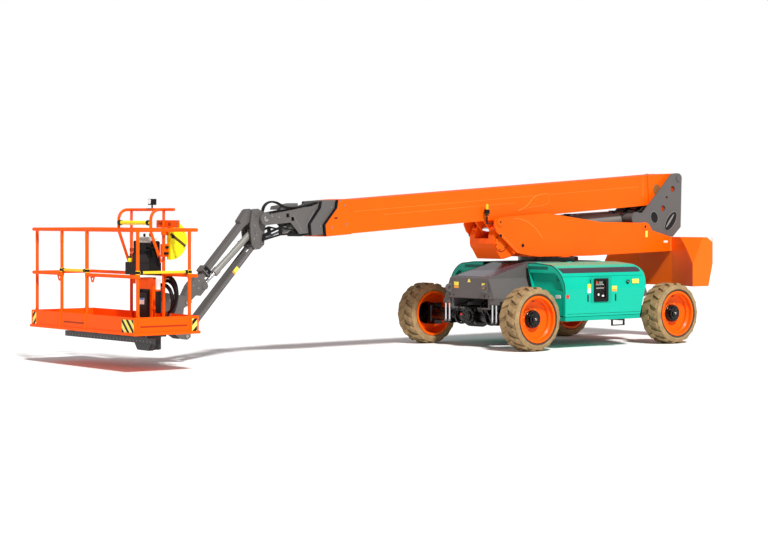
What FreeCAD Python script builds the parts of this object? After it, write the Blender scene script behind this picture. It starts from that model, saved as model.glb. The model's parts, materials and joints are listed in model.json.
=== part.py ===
"""Self-propelled telescopic boom lift: wheeled chassis, slewing turret, three-section boom, jib and work platform.

All sizes are in millimetres.  X points forward, towards the platform, Y to the machine's left and Z up.
Inside this file X is measured from the slew axis and Z from the ground; main() moves every piece by
ORIGIN_X on export, so that the exported origin lies on the ground in the middle of the whole length.
"""
import FreeCAD, Part
import math
import os

V = FreeCAD.Vector

# ---------------------------------------------------------------- running gear
WHEELBASE = 2700.0
OVERALL_WIDTH = 2490.0
TYRE_RADIUS = 430.0
TYRE_WIDTH = 340.0
RIM_RADIUS = 300.0            # bead seat, where tyre and rim meet
RIM_WALL = 14.0
HUB_RADIUS = 145.0            # planetary hub that fills the middle of the rim
HUB_DEPTH = 150.0             # how far the hub's cap stays behind the tyre's outer face
TREAD_GROOVE = 26.0           # lug height
TREAD_LUGS = 18               # lugs in each half of the tread
TREAD_LUG_WIDTH = 72.0
TREAD_SKEW = -24.0
TREAD_SHOULDER = 50.0         # from the tyre's outer face to where the lugs round off
AXLE_BEAM_RADIUS = 95.0
DIFF_RADIUS = 150.0
KINGPIN_IN_TYRE = 60.0        # the kingpin stands this far inside the tyre's inner face
STEER_ANGLE = 30.0

# ---------------------------------------------------------------- chassis
FRAME_PLATE = 16.0
DECK_HEIGHT = 1175.0
DECK_HALF_LENGTH = 640.0
NOSE_X = 1490.0
NOSE_TOP = 955.0
NOSE_BOTTOM = 685.0
NOSE_TOP_HALF = 400.0
NOSE_BOTTOM_HALF = 520.0
BELLY_HEIGHT = 470.0
BELLY_HALF_LENGTH = 900.0
RING_RADIUS = 430.0
RING_HEIGHT = 60.0
SIDE_BOX_FRONT = 815.0        # side boxes lie between the wheels, clear of a steered tyre
SIDE_BOX_REAR = -785.0
SIDE_BOX_BOTTOM = 385.0
SIDE_BOX_TOP = 1165.0
HOOD_SKIN = 12.0
GAP = 6.0                     # running gap between a door or cover and what is round it

# ---------------------------------------------------------------- turret
TURRET_HALF = 325.0           # outer face of the side plates
TURRET_PLATE = 20.0
TOWER_PLATE = 25.0
COUNTER_HALF = 900.0
COUNTER_BOTTOM = 785.0
COUNTER_TOP = 1500.0
COUNTER_INNER = 2220.0        # radius about the slew axis, clear of the wheels
COUNTER_REAR = -2700.0

# ---------------------------------------------------------------- boom
BOOM_PIVOT = V(-2365, 0, 2368)
BOOM_SLOPE = 4.0              # degrees below level when parked
BOOM_LIFT = 74.0
BASE_WIDTH = 420.0
BASE_DEPTH = 440.0
BASE_TOP = 80.0               # top of the base section above the pivot line
BASE_LENGTH = 6310.0
SECTION_STEP = 56.0           # each section is this much smaller than the one round it
SECTION_WALL = 9.0
EXTEND = 4900.0               # travel of each moving section
PIN_RADIUS = 45.0
PIN_CLEARANCE = 0.5
LIFT_BASE = V(-1486, 0, 1774) # base pin of the lift cylinder, on the tower
ROD_PIN_ALONG = 3505.0        # the lift rod's pin, along and below the boom
ROD_PIN_BELOW = 490.0
LIFT_BORE_RADIUS = 100.0
LIFT_ROD_RADIUS = 60.0

# ---------------------------------------------------------------- jib and platform
KNUCKLE_REACH = 548.0         # the knuckle pin stands this far past the fly section's end
KNUCKLE_DROP = 75.0           # and this far below the boom's pivot line
LEVEL_BASE_BACK = 413.0       # the level cylinder's base pin inside the fly section
LEVEL_BASE_DROP = 87.0
JIB_PIN_SPACING = 410.0
JIB_LENGTH = 1500.0
JIB_SLOPE = 47.0
JIB_UP = 107.0
JIB_DOWN = 8.0
ROTATOR_REACH = 387.0         # from the jib head's upper pin forward to the rotator's axis
ROTATOR_RADIUS = 90.0
PLATFORM_REACH = 1025.0       # from the rotator's axis forward to the front posts' line
PLATFORM_DEPTH = 825.0
PLATFORM_WIDTH = 2430.0
FLOOR_DROP = 278.0            # the floor lies this far below the jib head's upper pin
FLOOR_PLATE = 20.0
TOE_HEIGHT = 182.0            # heights above the floor
MID_RAIL_HEIGHT = 646.0
TOP_RAIL_HEIGHT = 1180.0
HOOP_HEIGHT = 1420.0
RAIL_RADIUS = 21.0

TOE_PLATE = 6.0
POST_GAP = 0.2                # the toe boards stand this far outside the posts
LIP_REACH = 42.0              # from the posts' line to the lip's outer edge


# ---------------------------------------------------------------- shape helpers
def box(x0, x1, y0, y1, z0, z1):
    return Part.makeBox(x1 - x0, y1 - y0, z1 - z0, V(x0, y0, z0))


def cylinder(radius, start, end):
    axis = end - start
    return Part.makeCylinder(radius, axis.Length, start, axis)


def across(radius, centre, y0, y1):
    """A round bar along Y."""
    return cylinder(radius, V(centre.x, y0, centre.z), V(centre.x, y1, centre.z))


def slab(points, y0, y1):
    """A plate whose outline is given as (x, z) points, from y0 to y1."""
    wire = Part.makePolygon([V(x, y0, z) for x, z in points] + [V(points[0][0], y0, points[0][1])])
    return Part.Face(wire).extrude(V(0, y1 - y0, 0))


def plan(points, z0, z1):
    """A block whose outline is given as (x, y) points, from z0 to z1."""
    wire = Part.makePolygon([V(x, y, z0) for x, y in points] + [V(points[0][0], points[0][1], z0)])
    return Part.Face(wire).extrude(V(0, 0, z1 - z0))


def profile_x(points, x0, x1):
    """A block whose outline is given as (y, z) points, from x0 to x1."""
    wire = Part.makePolygon([V(x0, y, z) for y, z in points] + [V(x0, points[0][0], points[0][1])])
    return Part.Face(wire).extrude(V(x1 - x0, 0, 0))


def fuse(*shapes):
    return shapes[0].multiFuse(list(shapes[1:])).removeSplitter()


def cut(shape, *tools):
    return shape.cut(list(tools))


def mirrored(shape):
    return shape.mirror(V(0, 0, 0), V(0, 1, 0))


def tube_path(points, radius, bend):
    """A round tube along points, with arcs of the given bend radius at the corners."""
    edges = []
    last = points[0]
    for i in range(1, len(points) - 1):
        a, p, b = points[i - 1], points[i], points[i + 1]
        u = (a - p).normalize()
        w = (b - p).normalize()
        half = u.getAngle(w) / 2.0
        reach = bend / math.tan(half)
        start = p + u * reach
        end = p + w * reach
        middle = p + (u + w).normalize() * (bend / math.sin(half) - bend)
        edges.append(Part.LineSegment(last, start).toShape())
        edges.append(Part.Arc(start, middle, end).toShape())
        last = end
    edges.append(Part.LineSegment(last, points[-1]).toShape())
    path = Part.Wire(edges)
    ring = Part.Wire([Part.Circle(points[0], points[1] - points[0], radius).toShape()])
    return path.makePipeShell([ring], True, True)


# ---------------------------------------------------------------- the boom's own frame
BOOM_AXIS = V(math.cos(math.radians(BOOM_SLOPE)), 0, -math.sin(math.radians(BOOM_SLOPE)))
BOOM_UP = V(-BOOM_AXIS.z, 0, BOOM_AXIS.x)


def on_boom(along, up):
    return BOOM_PIVOT + BOOM_AXIS * along + BOOM_UP * up


def boom_slab(points, y0, y1):
    """A plate given by (along, up) points in the boom's frame."""
    corners = [on_boom(s, t) for s, t in points]
    return slab([(p.x, p.z) for p in corners], y0, y1)


def boom_block(s0, s1, t0, t1, half):
    return boom_slab([(s0, t0), (s1, t0), (s1, t1), (s0, t1)], -half, half)


def section_size(step):
    """Half width, bottom and top of the telescope section number step, 0 being the base."""
    half = (BASE_WIDTH - step * SECTION_STEP) / 2.0
    top = BASE_TOP - step * SECTION_STEP / 2.0
    bottom = BASE_TOP - BASE_DEPTH + step * SECTION_STEP / 2.0
    return half, bottom, top


def section_tube(step, s0, s1):
    half, bottom, top = section_size(step)
    outer = boom_block(s0, s1, bottom, top, half)
    inner = boom_block(s0 - 1, s1 + 1, bottom + SECTION_WALL, top - SECTION_WALL, half - SECTION_WALL)
    return cut(outer, inner)


# ---------------------------------------------------------------- the jib's own frame
JIB_AXIS = V(math.cos(math.radians(JIB_SLOPE)), 0, -math.sin(math.radians(JIB_SLOPE)))
JIB_OUT = V(-JIB_AXIS.z, 0, JIB_AXIS.x)
MID_FRONT = BASE_LENGTH + 390.0
FLY_FRONT = MID_FRONT + 180.0
KNUCKLE_PIN = on_boom(FLY_FRONT + KNUCKLE_REACH, -KNUCKLE_DROP)
LEVEL_BASE = on_boom(FLY_FRONT - LEVEL_BASE_BACK, -LEVEL_BASE_DROP)
JIB_UPPER_PIN = KNUCKLE_PIN + V(110, 0, 70)
JIB_LOWER_PIN = JIB_UPPER_PIN - V(0, 0, JIB_PIN_SPACING)
JIB_BASE_PIN = KNUCKLE_PIN + V(95, 0, -160)
LEVEL_PIN = KNUCKLE_PIN + V(20, 0, -300)
HEAD_UPPER_PIN = JIB_UPPER_PIN + JIB_AXIS * JIB_LENGTH
HEAD_LOWER_PIN = JIB_LOWER_PIN + JIB_AXIS * JIB_LENGTH
JIB_ROD_PIN = JIB_UPPER_PIN + JIB_AXIS * 1160.0 - JIB_OUT * 82.0

ROTATOR_X = HEAD_UPPER_PIN.x + ROTATOR_REACH
PLATFORM_FRONT = ROTATOR_X + PLATFORM_REACH
FLOOR_HEIGHT = HEAD_UPPER_PIN.z - FLOOR_DROP
TOE_TOP = FLOOR_HEIGHT + TOE_HEIGHT
MID_RAIL = FLOOR_HEIGHT + MID_RAIL_HEIGHT
TOP_RAIL = FLOOR_HEIGHT + TOP_RAIL_HEIGHT
HOOP_TOP = FLOOR_HEIGHT + HOOP_HEIGHT
ORIGIN_X = (PLATFORM_FRONT + LIP_REACH + COUNTER_REAR) / 2.0


def on_jib(along, out):
    return JIB_UPPER_PIN + JIB_AXIS * along + JIB_OUT * out


def jib_slab(points, y0, y1):
    corners = [on_jib(s, t) for s, t in points]
    return slab([(p.x, p.z) for p in corners], y0, y1)


# ---------------------------------------------------------------- wheels and axles
WHEEL_Y = OVERALL_WIDTH / 2.0 - TYRE_WIDTH / 2.0
KINGPIN_Y = OVERALL_WIDTH / 2.0 - TYRE_WIDTH + KINGPIN_IN_TYRE


def tread_half(turn):
    """Lugs of one half of the tread: skewed bars, trimmed to the tyre's rounded outer form."""
    half, r = TYRE_WIDTH / 2.0, TYRE_RADIUS
    root = r - TREAD_GROOVE - 6
    outline = [V(0, y, z) for y, z in ((0, root), (0, r), (half - TREAD_SHOULDER, r), (half - 3, r - 22),
                                       (half - 3, root), (0, root))]
    form = Part.Face(Part.makePolygon(outline)).revolve(V(0, 0, 0), V(0, 1, 0), 360)
    bars = []
    for i in range(TREAD_LUGS):
        bar = Part.makeBox(TREAD_LUG_WIDTH, half + 60, 60, V(0, -60, root - 10))
        bar.rotate(V(0, 0, 0), V(0, 0, 1), TREAD_SKEW)
        bar = bar.common(box(-200, 200, 0, half + 60, 0, r + 60))
        bar.rotate(V(0, 0, 0), V(0, 1, 0), 180.0 + (i + turn) * 360.0 / TREAD_LUGS)
        bars.append(bar)
    return form.common(Part.makeCompound(bars)).Solids


def tyre_carcass():
    """The tyre under its lugs: bulged side walls and beads, revolved about the wheel's axis."""
    half, r = TYRE_WIDTH / 2.0, TYRE_RADIUS
    side = [(r - TREAD_GROOVE, half - 16), (r - 70, half), (RIM_RADIUS + 30, half - 4),
            (RIM_RADIUS + 18, half - 22), (RIM_RADIUS, half - 22)]
    outline = [V(0, y, z) for z, y in side] + [V(0, -y, z) for z, y in side[::-1]]
    return Part.Face(Part.makePolygon(outline + [outline[0]])).revolve(V(0, 0, 0), V(0, 1, 0), 360)


def tyre_form():
    """Rubber tyre about the origin, with the lugs of its two halves half a pitch apart."""
    lugs = tread_half(0.0) + [mirrored(lug) for lug in tread_half(0.5)]
    return fuse(tyre_carcass(), *lugs)


def tyre(form, x, side):
    return (form if side > 0 else mirrored(form)).translated(V(x, side * WHEEL_Y, TYRE_RADIUS))


def rim(x, side):
    """Dished steel rim with its disc, revolved; the disc bolts to the outside of the hub's flange."""
    half = TYRE_WIDTH / 2.0
    disc = TYRE_WIDTH / 2.0 - HUB_DEPTH + 4.0
    r, t = RIM_RADIUS, RIM_WALL
    outline = [(r, half - 22), (r + 16, half - 20), (r + 16, half - 8), (r - t, half - 8), (r - t, half - 60),
               (r - t - 26, half - 84), (r - t - 26, disc + 30), (HUB_RADIUS + 24, disc), (HUB_RADIUS - 30, disc),
               (HUB_RADIUS - 30, disc - t), (HUB_RADIUS + 24, disc - t), (r - t - 26, disc - 6 + t),
               (r - t, disc - 40), (r - t, -half + 8), (r + 16, -half + 8), (r + 16, -half + 20), (r, -half + 22)]
    points = [V(0, side * y, radius) for radius, y in outline]
    face = Part.Face(Part.makePolygon(points + [points[0]]))
    ring = face.revolve(V(0, 0, 0), V(0, 1, 0), 360)
    return ring.translate(V(x, side * WHEEL_Y, TYRE_RADIUS))


def hub(x, side, outer=HUB_RADIUS):
    """Planetary hub: flange behind the rim's disc, stepped cap in front, bore for the spindle."""
    disc = WHEEL_Y + TYRE_WIDTH / 2.0 - HUB_DEPTH + 4.0
    z = TYRE_RADIUS

    def ring(radius, y0, y1):
        return cylinder(radius, V(x, side * y0, z), V(x, side * y1, z))

    body = fuse(ring(outer + 15, disc - RIM_WALL - 30, disc - RIM_WALL), ring(outer - 30, disc - RIM_WALL, disc),
                ring(outer - 30, disc, disc + 62), ring(outer - 55, disc + 62, disc + 84),
                ring(outer - 95, disc + 84, disc + 98))
    return cut(body, ring(SPINDLE_RADIUS + PIN_CLEARANCE, disc - RIM_WALL - 31, disc - RIM_WALL + 20))


SPINDLE_RADIUS = 60.0
SPINDLE_END = WHEEL_Y + TYRE_WIDTH / 2.0 - HUB_DEPTH + 4.0 - RIM_WALL + 15.0
YOKE_HALF = 150.0
YOKE_PLATE = 34.0
KINGPIN_RADIUS = 32.0
AXLE_Z = TYRE_RADIUS


def knuckle(side):
    """Steering knuckle between the axle's two yoke plates, with the spindle for the hub."""
    x = WHEELBASE / 2.0
    reach = YOKE_HALF - YOKE_PLATE - 2.0
    body = cylinder(62, V(x, side * KINGPIN_Y, AXLE_Z - reach), V(x, side * KINGPIN_Y, AXLE_Z + reach))
    flange = cylinder(104, V(x, side * (KINGPIN_Y + 50), AXLE_Z), V(x, side * (KINGPIN_Y + 72), AXLE_Z))
    spindle = cylinder(SPINDLE_RADIUS, V(x, side * KINGPIN_Y, AXLE_Z), V(x, side * SPINDLE_END, AXLE_Z))
    arm = box(x - 190, x - 40, min(side * (KINGPIN_Y - 30), side * (KINGPIN_Y + 10)),
              max(side * (KINGPIN_Y - 30), side * (KINGPIN_Y + 10)), AXLE_Z - 100, AXLE_Z - 70)
    bore = cylinder(KINGPIN_RADIUS + PIN_CLEARANCE, V(x, side * KINGPIN_Y, AXLE_Z - reach - 1),
                    V(x, side * KINGPIN_Y, AXLE_Z + reach + 1))
    return cut(fuse(body, flange, spindle, arm), bore)


ROD_X = WHEELBASE / 2.0 + 102.0   # rods that stand in front of the axle beam, under the frame's gussets
ROD_YS = (450.0, 530.0)
ROD_TOP = 600.0


def front_axle():
    """Driven steering axle: centre housing, beam, lock rods, and a yoke with its kingpin at each end."""
    x = WHEELBASE / 2.0
    beam_end = KINGPIN_Y - 105.0
    body = [cylinder(AXLE_BEAM_RADIUS, V(x, -beam_end, AXLE_Z), V(x, beam_end, AXLE_Z)),
            cylinder(DIFF_RADIUS, V(x, -120, AXLE_Z), V(x, 120, AXLE_Z)),
            cylinder(75, V(x - 240, 0, AXLE_Z), V(x - 60, 0, AXLE_Z)),
            cylinder(118, V(x + 60, 0, AXLE_Z), V(x + 165, 0, AXLE_Z)),
            cylinder(70, V(x + 150, 0, AXLE_Z), V(x + 185, 0, AXLE_Z)),
            box(x - 110, x + 110, -330, 330, AXLE_Z + 60, AXLE_Z + 100)]
    for side in (1, -1):
        shoe = sorted((side * (ROD_YS[0] - 30), side * (ROD_YS[1] + 30)))
        body.append(box(x - 60, ROD_X + 30, shoe[0], shoe[1], AXLE_Z - 112, AXLE_Z - 86))
        for rod_y in ROD_YS:
            body.append(cylinder(14, V(ROD_X, side * rod_y, AXLE_Z - 90), V(ROD_X, side * rod_y, ROD_TOP)))
        y = side * KINGPIN_Y
        back = side * (beam_end - 40)
        for z in (AXLE_Z - YOKE_HALF, AXLE_Z + YOKE_HALF - YOKE_PLATE):
            body.append(box(x - 70, x + 70, min(y, back), max(y, back), z, z + YOKE_PLATE))
            body.append(cylinder(70, V(x, y, z), V(x, y, z + YOKE_PLATE)))
        body.append(box(x - 70, x + 70, min(back, side * beam_end), max(back, side * beam_end),
                        AXLE_Z - YOKE_HALF, AXLE_Z + YOKE_HALF))
        body.append(cylinder(KINGPIN_RADIUS, V(x, y, AXLE_Z - YOKE_HALF), V(x, y, AXLE_Z + YOKE_HALF)))
    return fuse(*body)


def rear_axle():
    x = -WHEELBASE / 2.0
    body = [cylinder(AXLE_BEAM_RADIUS, V(x, -WHEEL_Y + 60, AXLE_Z), V(x, WHEEL_Y - 60, AXLE_Z)),
            cylinder(SPINDLE_RADIUS, V(x, -SPINDLE_END, AXLE_Z), V(x, SPINDLE_END, AXLE_Z)),
            cylinder(DIFF_RADIUS, V(x, -120, AXLE_Z), V(x, 120, AXLE_Z)),
            cylinder(75, V(x + 60, 0, AXLE_Z), V(x + 240, 0, AXLE_Z)),
            box(x - 110, x + 110, -330, 330, AXLE_Z + 60, AXLE_Z + 100)]
    for side in (1, -1):
        body.append(cylinder(118, V(x, side * (WHEEL_Y - 90), AXLE_Z), V(x, side * (WHEEL_Y - 60), AXLE_Z)))
    return fuse(*body)


# ---------------------------------------------------------------- chassis
PAD_TOP = AXLE_Z + 100.0      # the axles' mounting pads
GUSSET_Y = 450.0              # gusset plates that run back under each nose


def chassis_frame():
    """Welded box frame: raised deck in the middle, sloping noses, hollow, with arched ends over the axles."""
    side = [(-NOSE_X, NOSE_BOTTOM), (-NOSE_X, NOSE_TOP), (-DECK_HALF_LENGTH, DECK_HEIGHT),
            (DECK_HALF_LENGTH, DECK_HEIGHT), (NOSE_X, NOSE_TOP), (NOSE_X, NOSE_BOTTOM),
            (NOSE_X - 60, NOSE_BOTTOM - 40), (1180, NOSE_BOTTOM - 60), (BELLY_HALF_LENGTH, BELLY_HEIGHT),
            (-BELLY_HALF_LENGTH, BELLY_HEIGHT), (-1180, NOSE_BOTTOM - 60), (-NOSE_X + 60, NOSE_BOTTOM - 40)]
    outer = slab(side, -NOSE_BOTTOM_HALF, NOSE_BOTTOM_HALF)
    span = NOSE_X + 10
    limits = profile_x([(-NOSE_BOTTOM_HALF, 400), (NOSE_BOTTOM_HALF, 400), (NOSE_BOTTOM_HALF, NOSE_BOTTOM),
                        (NOSE_TOP_HALF, NOSE_TOP), (NOSE_TOP_HALF, 1300), (-NOSE_TOP_HALF, 1300),
                        (-NOSE_TOP_HALF, NOSE_TOP), (-NOSE_BOTTOM_HALF, NOSE_BOTTOM)], -span, span)
    outer = outer.common(limits)
    t = FRAME_PLATE
    inside = [(-NOSE_X + t, 400), (-NOSE_X + t, NOSE_TOP - t), (-DECK_HALF_LENGTH, DECK_HEIGHT - t),
              (DECK_HALF_LENGTH, DECK_HEIGHT - t), (NOSE_X - t, NOSE_TOP - t), (NOSE_X - t, 400)]
    core = slab(inside, -NOSE_TOP_HALF + t, NOSE_TOP_HALF - t)
    shell = cut(outer, core)
    parts = [shell]
    for x in (-WHEELBASE / 2.0, WHEELBASE / 2.0):
        parts.append(box(x - 110, x + 110, -NOSE_TOP_HALF, NOSE_TOP_HALF, PAD_TOP, PAD_TOP + 20))
        for y in (-NOSE_TOP_HALF, NOSE_TOP_HALF - 40):
            parts.append(box(x - 110, x + 110, y, y + 40, PAD_TOP + 10, 700))
    parts.append(box(-BELLY_HALF_LENGTH, BELLY_HALF_LENGTH, -NOSE_TOP_HALF, NOSE_TOP_HALF,
                     BELLY_HEIGHT, BELLY_HEIGHT + t))
    for end in (1, -1):
        outline = [(end * x, z) for x, z in ((NOSE_X - 10, NOSE_BOTTOM + 5), (NOSE_X - 10, NOSE_BOTTOM - 35),
                                             (1200, 535), (1130, 545), (1130, NOSE_BOTTOM))]
        plate = slab(outline, GUSSET_Y - FRAME_PLATE / 2, GUSSET_Y + FRAME_PLATE / 2)
        parts += [plate, mirrored(plate)]
    for side in (1, -1):
        y0, y1 = sorted((side * (ROD_YS[0] - 30), side * (ROD_YS[1] + 30)))
        parts.append(box(ROD_X - 30, ROD_X + 24, y0, y1, ROD_TOP + 0.3, NOSE_BOTTOM - 20))
        parts.append(box(ROD_X - 30, ROD_X + 24, y0, y1, NOSE_BOTTOM - 21, NOSE_BOTTOM + 10).common(
            box(0, 2000, -NOSE_BOTTOM_HALF, NOSE_BOTTOM_HALF, 0, 2000)))
    body = fuse(*parts)
    for x in (-WHEELBASE / 2.0, WHEELBASE / 2.0):
        body = cut(body, across(DIFF_RADIUS + 12, V(x, 0, AXLE_Z), -140, 140))
    bore = cylinder(150, V(0, 0, DECK_HEIGHT - 60), V(0, 0, DECK_HEIGHT + 5))
    return cut(body, bore)


LUG_EYE = 30.0
LUG_Y = NOSE_TOP_HALF - 30.0
LUG_Z = 815.0
LUG_THICKNESS = 30.0


def tie_down_lugs():
    """Four tie-down lugs, two on each end of the frame, with round eyes."""
    lugs = []
    for end in (1, -1):
        for side in (1, -1):
            y = side * LUG_Y
            eye = V(end * (NOSE_X + 52), 0, LUG_Z)
            root = V(end * (NOSE_X + 5), 0, LUG_Z)
            plate = slab([(root.x - end * 5, LUG_Z - 75), (root.x - end * 5, LUG_Z + 75), (eye.x, LUG_Z + 52),
                          (eye.x, LUG_Z - 52)], y - LUG_THICKNESS / 2, y + LUG_THICKNESS / 2)
            plate = fuse(plate, across(52, eye, y - LUG_THICKNESS / 2, y + LUG_THICKNESS / 2))
            lugs.append(cut(plate, across(LUG_EYE, eye, y - 40, y + 40)))
    return lugs


def slew_ring():
    """Outer race of the slewing bearing, bolted on the deck."""
    ring = cut(cylinder(RING_RADIUS, V(0, 0, DECK_HEIGHT), V(0, 0, DECK_HEIGHT + RING_HEIGHT - 5)),
               cylinder(RING_RADIUS - 110, V(0, 0, DECK_HEIGHT - 5), V(0, 0, DECK_HEIGHT + RING_HEIGHT)))
    return ring


BOX_INNER = NOSE_BOTTOM_HALF + 20.0    # inner wall, upright up to the knee and then leaning in
BOX_KNEE = 820.0
BOX_SLANT = 90.0              # how far the wall leans in from the knee to the top
BOX_OUTER = 1205.0
BLOCK_CLEARANCE = 105.0       # from the box's outer face to the forms inside
BOX_SEAM = 440.0              # the hood's lower edge
BOX_LEAN = 180.0              # how far the rear end leans in towards the bottom
HINGE_XS = (-560.0, 20.0, 600.0)
HINGE_Y = BOX_INNER - BOX_SLANT + 6.0
HINGE_Z = SIDE_BOX_TOP - 6.0
HINGE_PIN = 6.0


def box_section(y_in, inset, z0, x0, x1):
    """Length of the box's cross-section: upright face, round shoulder, nearly level top, inner wall."""
    y1, top = BOX_OUTER - inset, SIDE_BOX_TOP - inset
    corners = [V(x0, y_in, z0), V(x0, y1, z0), V(x0, y1, top - 350), V(x0, y1 - 262, top - 30),
               V(x0, y1 - 520, top), V(x0, y_in - BOX_SLANT, top), V(x0, y_in, BOX_KNEE), V(x0, y_in, z0)]
    shoulder = V(x0, y1 - 88, top - 150)
    edges = [Part.LineSegment(a, b).toShape() for a, b in zip(corners, corners[1:])]
    edges[2] = Part.Arc(corners[2], shoulder, corners[3]).toShape()
    return Part.Face(Part.Wire(edges)).extrude(V(x1 - x0, 0, 0))


def box_ends(inset):
    """Side view of the box: upright front, rear end leaning in with a round top corner."""
    x0, x1, top = SIDE_BOX_REAR + inset, SIDE_BOX_FRONT - inset, SIDE_BOX_TOP + 2
    low, turn = SIDE_BOX_BOTTOM - 2, 150.0
    corners = [V(x0 + BOX_LEAN, 0, low), V(x1, 0, low), V(x1, 0, top), V(x0 + turn, 0, top), V(x0, 0, top - turn)]
    bend = V(x0 + 0.26 * turn, 0, top - 0.26 * turn)
    edges = [Part.LineSegment(corners[i], corners[i + 1]).toShape() for i in range(3)]
    edges += [Part.Arc(corners[3], bend, corners[4]).toShape(), Part.LineSegment(corners[4], corners[0]).toShape()]
    return Part.Face(Part.Wire(edges)).extrude(V(0, BOX_OUTER + 10, 0))


def side_box(side):
    """Tray and back wall of a side box, carried by two brackets on the frame; the hood closes it."""
    tray = box_section(BOX_INNER, 0, SIDE_BOX_BOTTOM, SIDE_BOX_REAR, SIDE_BOX_FRONT).common(box_ends(0))
    tray = cut(tray, box(SIDE_BOX_REAR, SIDE_BOX_FRONT, 0, BOX_OUTER + 5, BOX_SEAM, SIDE_BOX_TOP + 5))
    hollow = box_section(BOX_INNER + HOOD_SKIN, HOOD_SKIN, SIDE_BOX_BOTTOM + HOOD_SKIN,
                         SIDE_BOX_REAR, SIDE_BOX_FRONT).common(box_ends(HOOD_SKIN))
    low, lean = BOX_SEAM - 5, BOX_INNER - BOX_SLANT
    wall = box_ends(0).common(profile_x([(BOX_INNER, low), (BOX_INNER, BOX_KNEE), (lean, SIDE_BOX_TOP - 30),
                                         (lean + HOOD_SKIN, SIDE_BOX_TOP - 30), (BOX_INNER + HOOD_SKIN, BOX_KNEE),
                                         (BOX_INNER + HOOD_SKIN, low)], SIDE_BOX_REAR, SIDE_BOX_FRONT))
    parts = [cut(tray, hollow), wall]
    for x in (-520, 480):
        parts.append(box(x - 40, x + 40, NOSE_BOTTOM_HALF, BOX_INNER + 5, 500, 620))
    for x in HINGE_XS:
        parts.append(cylinder(HINGE_PIN, V(x - 70, HINGE_Y, HINGE_Z), V(x + 70, HINGE_Y, HINGE_Z)))
        for end in (-70, 50):
            parts.append(box(x + end, x + end + 20, HINGE_Y - 6, HINGE_Y + 6, SIDE_BOX_TOP - 35, HINGE_Z + 4))
    return fuse(*parts) if side > 0 else mirrored(fuse(*parts))


def hood(side):
    """Thin cover over a side box, hinged along its inner top edge; its front end is sunk below a band."""
    t = HOOD_SKIN
    z0 = BOX_SEAM + GAP
    y0 = BOX_INNER + t + GAP
    body = box_section(y0, 0, z0, SIDE_BOX_REAR, SIDE_BOX_FRONT).common(box_ends(0))
    hollow = box_section(y0 - 1, t, z0 - 1, SIDE_BOX_REAR, SIDE_BOX_FRONT - FRONT_PANEL - t).common(box_ends(t))
    panel = box_section(y0 - 2, PANEL_RIM, z0 - 1, SIDE_BOX_FRONT - FRONT_PANEL, SIDE_BOX_FRONT + 1)
    panel = panel.common(box(0, SIDE_BOX_FRONT + 2, 0, BOX_OUTER, 0, LIP_BOTTOM))
    lip = box_section(y0 - 1, t, z0 - 1, SIDE_BOX_FRONT - FRONT_PANEL - t - 1, SIDE_BOX_FRONT - t)
    hollow = fuse(hollow, lip.common(box(0, SIDE_BOX_FRONT, 0, BOX_OUTER, LIP_BOTTOM + t, SIDE_BOX_TOP)))
    body = cut(body, hollow, panel)
    if side > 0:
        body = cut(body, panel_box(PANEL_GAP))
    for x in HINGE_XS:
        eye = fuse(cylinder(HINGE_PIN + 6, V(x - 40, HINGE_Y, HINGE_Z), V(x + 40, HINGE_Y, HINGE_Z)),
                   box(x - 40, x + 40, HINGE_Y, y0 - BOX_SLANT + 8, HINGE_Z, HINGE_Z + 6))
        body = fuse(body, eye)
        body = cut(body, cylinder(HINGE_PIN + PIN_CLEARANCE, V(x - 41, HINGE_Y, HINGE_Z), V(x + 41, HINGE_Y, HINGE_Z)))
    return body if side > 0 else mirrored(body)


FRONT_PANEL = 45.0            # depth of the panel sunk into the hood's front end
PANEL_RIM = 46.0              # rim left round it
LIP_BOTTOM = 1030.0           # the band above it
PANEL_X = 157.0
PANEL_Z = 795.0
PANEL_WIDTH = 220.0
PANEL_HEIGHT = 290.0
PANEL_DEPTH = 90.0            # behind the hood's face, and in front of it
PANEL_PROUD = 10.0
PANEL_GAP = 0.3


def panel_box(gap):
    """Space that the ground control panel takes in the left hood's face."""
    return box(PANEL_X - PANEL_WIDTH / 2 - gap, PANEL_X + PANEL_WIDTH / 2 + gap, BOX_OUTER - PANEL_DEPTH,
               BOX_OUTER + PANEL_PROUD, PANEL_Z - PANEL_HEIGHT / 2 - gap, PANEL_Z + PANEL_HEIGHT / 2 + gap)


def ground_panel():
    """Framed ground control panel let into the left hood's face."""
    sunk = box(PANEL_X - PANEL_WIDTH / 2 + 16, PANEL_X + PANEL_WIDTH / 2 - 16, BOX_OUTER + PANEL_PROUD - 12,
               BOX_OUTER + PANEL_PROUD + 1, PANEL_Z - PANEL_HEIGHT / 2 + 32, PANEL_Z + PANEL_HEIGHT / 2 - 16)
    return cut(panel_box(0.0), sunk)


def engine_block():
    """Engine and its cooler, a plain form that stands in the right tray under the hood."""
    floor = SIDE_BOX_BOTTOM + HOOD_SKIN + 0.2
    outer = BOX_OUTER - BLOCK_CLEARANCE
    body = fuse(box(-330, 330, 640, outer - 110, floor, 760), box(-250, 250, 700, outer - 170, 750, 900),
                cylinder(150, V(320, 815, 650), V(390, 815, 650)), box(430, 480, 600, outer - 60, floor, 880),
                box(380, 440, 790, 840, 640, 660))
    return mirrored(body)


def tank_block():
    """Hydraulic tank and fuel tank, plain forms that stand in the left tray under the hood."""
    floor = SIDE_BOX_BOTTOM + HOOD_SKIN + 0.2
    outer = BOX_OUTER - BLOCK_CLEARANCE
    tank = fuse(box(-430, -20, 640, outer, floor, 860), box(60, 520, 640, outer - 50, floor, 760),
                cylinder(35, V(-120, 800, 855), V(-120, 800, 890)), box(-30, 70, 700, 900, floor, floor + 60))
    return tank


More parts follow.
